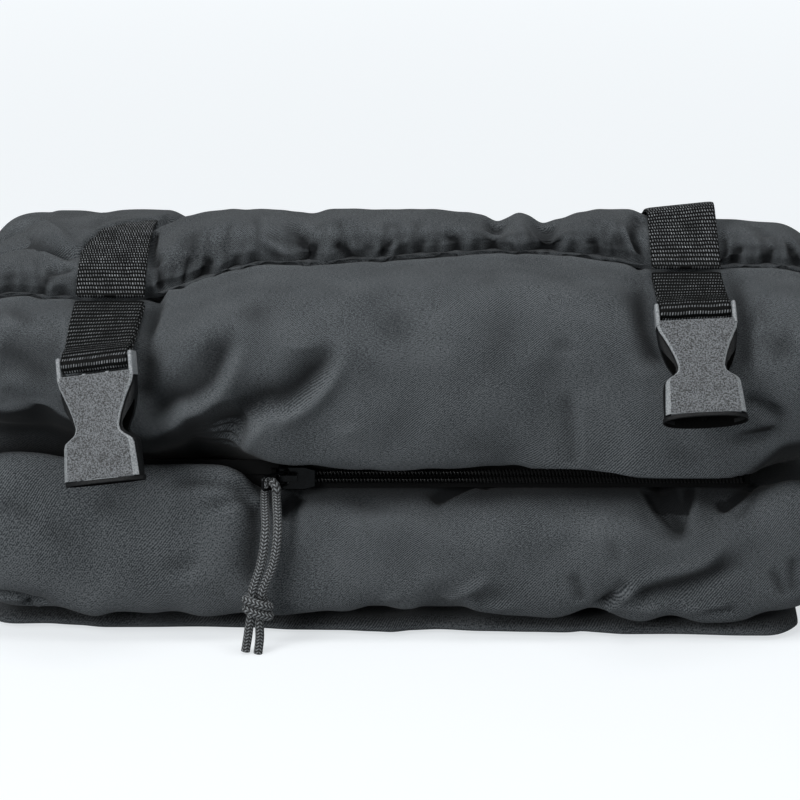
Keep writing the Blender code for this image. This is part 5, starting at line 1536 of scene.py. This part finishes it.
def finishSocket(obj):
    # grained face; painted highlight on the edges and cheek tops, painted shade on the plain sides, near-black
    # painted shade inside
    for key in ("acetalShade", "acetalHighlight", "acetalDeepShade"):
        obj.data.materials.append(materials[key])
    hull, face = np.array(socketHull), np.array(socketFace)
    for polygon in obj.data.polygons:
        x, y, away = polygon.center.x * 1000, polygon.center.y * 1000, -polygon.center.z * 1000
        half, front, back = (np.interp(away, hull[:, 0], hull[:, k]) for k in (1, 2, 3))
        wide, tall, chamfer = (np.interp(away, face[:, 0], face[:, k]) for k in (1, 2, 3))
        turn = polygon.normal.y
        onFace = (-y > tall - 0.25 - 0.8 * chamfer and abs(x) < wide + 0.2
                  and finish["top"] < away < finish["foot"])
        aside, deep = abs(x) / half, abs(y - (front + back) / 2) / ((back - front) / 2)
        within = aside ** finish["power"] + deep ** finish["power"]
        if away < socketHull[0][0]:
            polygon.material_index = 2 if abs(x) > finish["cheek"] and turn < finish["forward"] else 1
        elif onFace:
            polygon.material_index = 0 if turn < finish["flat"] else 2
        elif within < finish["hollow"]:
            polygon.material_index = 3
        else:
            polygon.material_index = 1


def makeSocket(name, frameMatrix):
    obj = linkMesh(name + "Body", loft(finer(socketHull, 1.2)), materials["acetal"])
    combine(obj, raisedFace(socketFace, buckle["plate"], buckle["edge"]), "UNION")
    inner = webbing["width"] / 2 + 0.0004
    outer = inner + buckle["cheek"]
    for side in (-1, 1):
        low, high = sorted((side * inner, side * outer))
        cheek = plainBlock((low, -0.0031, -buckle["slot"] - 0.003), (high, 0.0028, buckle["tip"]), 0.00075)
        combine(obj, cheek, "UNION")
    combine(obj, barRod(inner + buckle["cheek"] / 2, buckle["bar"]), "UNION")
    hollow = [(away, half, -tall, tall, power) for away, half, tall, power in finer(socketHollow, 3.0)]
    combine(obj, loft(hollow, 48), "DIFFERENCE")
    for side in (-1, 1):
        combine(obj, sideWindow(side), "DIFFERENCE")
        rib = plainBlock((-0.0004, 0.0020, -0.0420), (0.0004, 0.0046, -0.0300), 0.0002)
        bmesh.ops.rotate(rib, verts=rib.verts, cent=(0, 0, -0.0300), matrix=Matrix.Rotation(side * 0.45, 3, "Y"))
        bmesh.ops.translate(rib, verts=rib.verts, vec=(side * 0.0045, 0, 0))
        combine(obj, rib, "UNION")
    finishSocket(obj)
    obj.data.transform(frameMatrix)
    smoothFaces(obj.data)
    obj.data.set_sharp_from_angle(angle=math.radians(32))
    stand(obj, name, "acetal", name.replace("_socket", "_buckle_socket"))


for name, place in sockets.items():
    makeSocket(name, place)
print("sockets moulded")

# zip

zipParts = {
    "middle": 0.0591, "coilY": -0.06795, "coil": 0.00125, "gap": 0.0003,
    "left": -0.0445, "right": 0.125, "pitch": 0.00128, "wire": 0.00034, "steps": 14,
}


def makeCoilPiece(name, node, z, phase):
    points = []
    turns = (zipParts["right"] - zipParts["left"] - 2 * zipParts["gap"]) / zipParts["pitch"]
    radius = zipParts["coil"] - zipParts["wire"]
    for i in range(int(turns * zipParts["steps"]) + 1):
        t = 2 * math.pi * i / zipParts["steps"] + phase
        x = zipParts["left"] + zipParts["gap"] + zipParts["pitch"] * i / zipParts["steps"]
        points.append(Vector((x, zipParts["coilY"] + radius * math.cos(t), z + radius * math.sin(t))))
    obj = sweepTube(name, points, zipParts["wire"], 6, materials["coil"])
    stand(obj, "folded_bag", "zip_coil", node)


coilStep = zipParts["coil"] + zipParts["gap"] / 2
makeCoilPiece("lowerCoil", "lower_zip_coil", zipParts["middle"] - coilStep, 0.0)
makeCoilPiece("upperCoil", "upper_zip_coil", zipParts["middle"] + coilStep, math.pi)
print("coils wound")

# solids that keep their shape, with finished surfaces

for node, key in (
    ("lower_lining", "lining"), ("upper_lining", "lining"),
    ("lower_zip_tape", "tape"), ("upper_zip_tape", "tape"),
    # the zip stops take the near-black acetal: painted shade in the crease
    ("zip_top_stop", "acetalDeepShade"), ("zip_bottom_stop", "acetalDeepShade"),
    ("zip_slider", "metal"), ("zip_bail", "metal"),
    ("left_buckle_plug", "acetal"), ("right_buckle_plug", "acetal"),
    ("left_buckle_plug_left_arm", "acetal"), ("left_buckle_plug_right_arm", "acetal"),
    ("right_buckle_plug_left_arm", "acetal"), ("right_buckle_plug_right_arm", "acetal"),
):
    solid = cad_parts[node]
    for place in solid.material_slots:
        place.material = materials[key]
print("solids finished")
